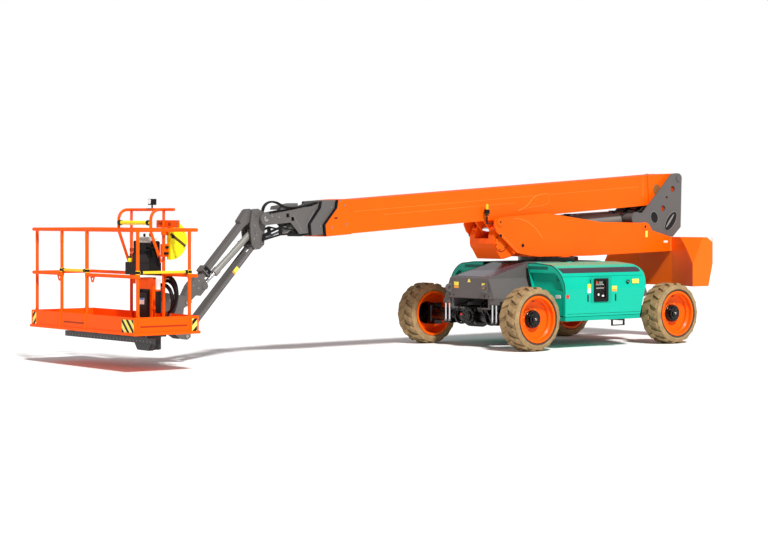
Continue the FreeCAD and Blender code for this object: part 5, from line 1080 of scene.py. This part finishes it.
# ------------------------------------------------------------------ work lamp
Piece("lamp_glass", "white_lens", "platform_lamp").end_plate(rounded(58, 58, 10, (234, 1987.5)), REAR + 37.5, 4,
    1.5).done()
blocks("lamp_fins", "black_plastic", "platform_lamp", *[(-46, 204, z, -36, 264,
    z + 5) for z in [1958 + 13.5 * k for k in range(5)]], bevel=1)

# ------------------------------------------------------------------ beam under the floor, rotator
BEAM_X, BEAM_LOW, BEAM_TOP = REAR + 440, 318, 385
beam = Piece("floor_beam", "black_paint", floor)
beam.block(P(BEAM_X - 60, -1115, BEAM_LOW), P(BEAM_X, 1030, BEAM_TOP))
beam.end_plate([(530, BEAM_LOW + 2), (930, BEAM_LOW + 2), (860, 236), (600, 236)], BEAM_X - 75, 70, 6)
for y in (-1000, -400, 250, 800):
    beam.block(P(BEAM_X - 55, y - 30, BEAM_TOP - 4), P(BEAM_X - 5, y + 30, FLOOR + 2), 2)
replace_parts(beam.done(), "under_beam")
holes = Piece("beam_marks", "grey_weld", floor)
for k in range(27):
    holes.disc(P(BEAM_X, -1070 + 76 * k, 346), UX, 10, 2.2, 14)
holes.done()
collars("rotator_bands", "black_paint", "jib_head", [P(6560.3, 0, z) for z in (430, 620, 800)], UZ, 89.5, 96, -12, 12,
    n=36)
Piece("rotator_bolts", "steel", "platform_carrier").ring_of_bolts(P(6620.3, 0, FLOOR - 285), -UZ, 90, 10, 9, 7).done()
head = Piece("head_bolts", "steel", "jib_head")
knuckle = Piece("knuckle_bolts", "steel", "jib_knuckle")
for side in SIDES:
    for x, z in ((6250, 600), (6250, 450), (6420, 780), (6440, 520)):
        head.bolt(P(x, side * 106, z), UY * side, 11, 8)
    for dx, dz in ((120, -80), (130, -250), (20, -230)):
        knuckle.bolt(P(PIVOT_X + dx, side * 106, PIVOT_Z + dz), UY * side, 9, 7)
head.done()
knuckle.done()

# ------------------------------------------------------------------ beacon
arm = Piece("beacon_arm", "black_plastic", "beacon")
arm.block(P(1268.5, 258.5, 1698.8), P(1415.5, 285.5, 1713.5), 2)
arm.block(P(1268.5, 284, 1698.8), P(1291.5, 304.4, 1713.5), 1).done()
ribs = Piece("beacon_ribs", "black_plastic", "beacon")
BEACON = P(1400, 272, 1700)
for low in (150, 175):
    ribs.collar(BEACON, UZ, 35.5, 38, low, low + 13, 3, 28)
ribs.collar(BEACON, UZ, 8.5, 12.5, 10, 114, 2, 14)
ribs.turned([(21, 112), (23.5, 114), (23.5, 140), (21, 141)], BEACON, UZ, 20)
ribs.turned([(35.5, 141), (37.2, 142), (37.2, 199), (22.5, 201.5), (21.5, 199.5), (35.5, 198)], BEACON, UZ, 28).done()

# ------------------------------------------------------------------ floor, light and camera
def stage_floor():
    """Pale studio floor under the tyres."""
    s = 90.0
    me = bpy.data.meshes.new("floor")
    me.from_pydata([(-s, -s, 0), (s, -s, 0), (s, s, 0), (-s, s, 0)], [], [(0, 1, 2, 3)])
    ob = bpy.data.objects.new("floor", me)
    bpy.context.scene.collection.objects.link(ob)
    m, t, b = new_material("studio_floor")
    drift = noise(t, t.nodes.new("ShaderNodeTexCoord").outputs["Object"], 0.6)
    t.links.new(mix(t, drift, (0.97, 0.97, 0.97, 1), (0.98, 0.98, 0.98, 1)), b.inputs["Base Color"])
    put(b, Roughness=0.95, Specular_IOR_Level=0.0)
    me.materials.append(m)
    ob.location.z = -0.0015


def studio_world(light_level):
    """White background for the camera, softer light for the object."""
    world = bpy.data.worlds.new("studio")
    bpy.context.scene.world = world
    world.use_nodes = True
    wt = world.node_tree
    wt.nodes.clear()
    out = wt.nodes.new("ShaderNodeOutputWorld")
    soft = wt.nodes.new("ShaderNodeBackground")
    put(soft, Color=(0.97, 0.98, 1.0, 1), Strength=light_level)
    white = wt.nodes.new("ShaderNodeBackground")
    put(white, Color=(1, 1, 1, 1), Strength=1.0)
    path = wt.nodes.new("ShaderNodeLightPath")
    blend = wt.nodes.new("ShaderNodeMixShader")
    for i, socket in enumerate((path.outputs["Is Camera Ray"], soft.outputs[0], white.outputs[0])):
        wt.links.new(socket, blend.inputs[i])
    wt.links.new(blend.outputs[0], out.inputs[0])


def sun(direction, strength, angle, colour):
    d = bpy.data.lights.new("sun", "SUN")
    d.energy = strength
    d.angle = math.radians(angle)
    d.color = colour
    o = bpy.data.objects.new("sun", d)
    bpy.context.scene.collection.objects.link(o)
    o.rotation_euler = Vector(direction).to_track_quat("-Z", "Y").to_euler()


stage_floor()
studio_world(0.36)
sun((-0.42, -1.2, -1.3), 3.8, 7.0, (1.0, 0.985, 0.96))

cam = bpy.data.cameras.new("camera")
cam_obj = bpy.data.objects.new("camera", cam)
bpy.context.scene.collection.objects.link(cam_obj)
cam_obj.location = P(19147, 20248, 1825) * MM
cam_obj.rotation_euler = (math.radians(90.0), 0.0, math.radians(142.9))
cam.sensor_width = 36.0
cam.lens = 90.96
cam.shift_x = 0.0655
cam.shift_y = -0.069
cam.clip_end = 200.0
bpy.context.scene.camera = cam_obj
bpy.context.scene.view_settings.view_transform = "Standard"
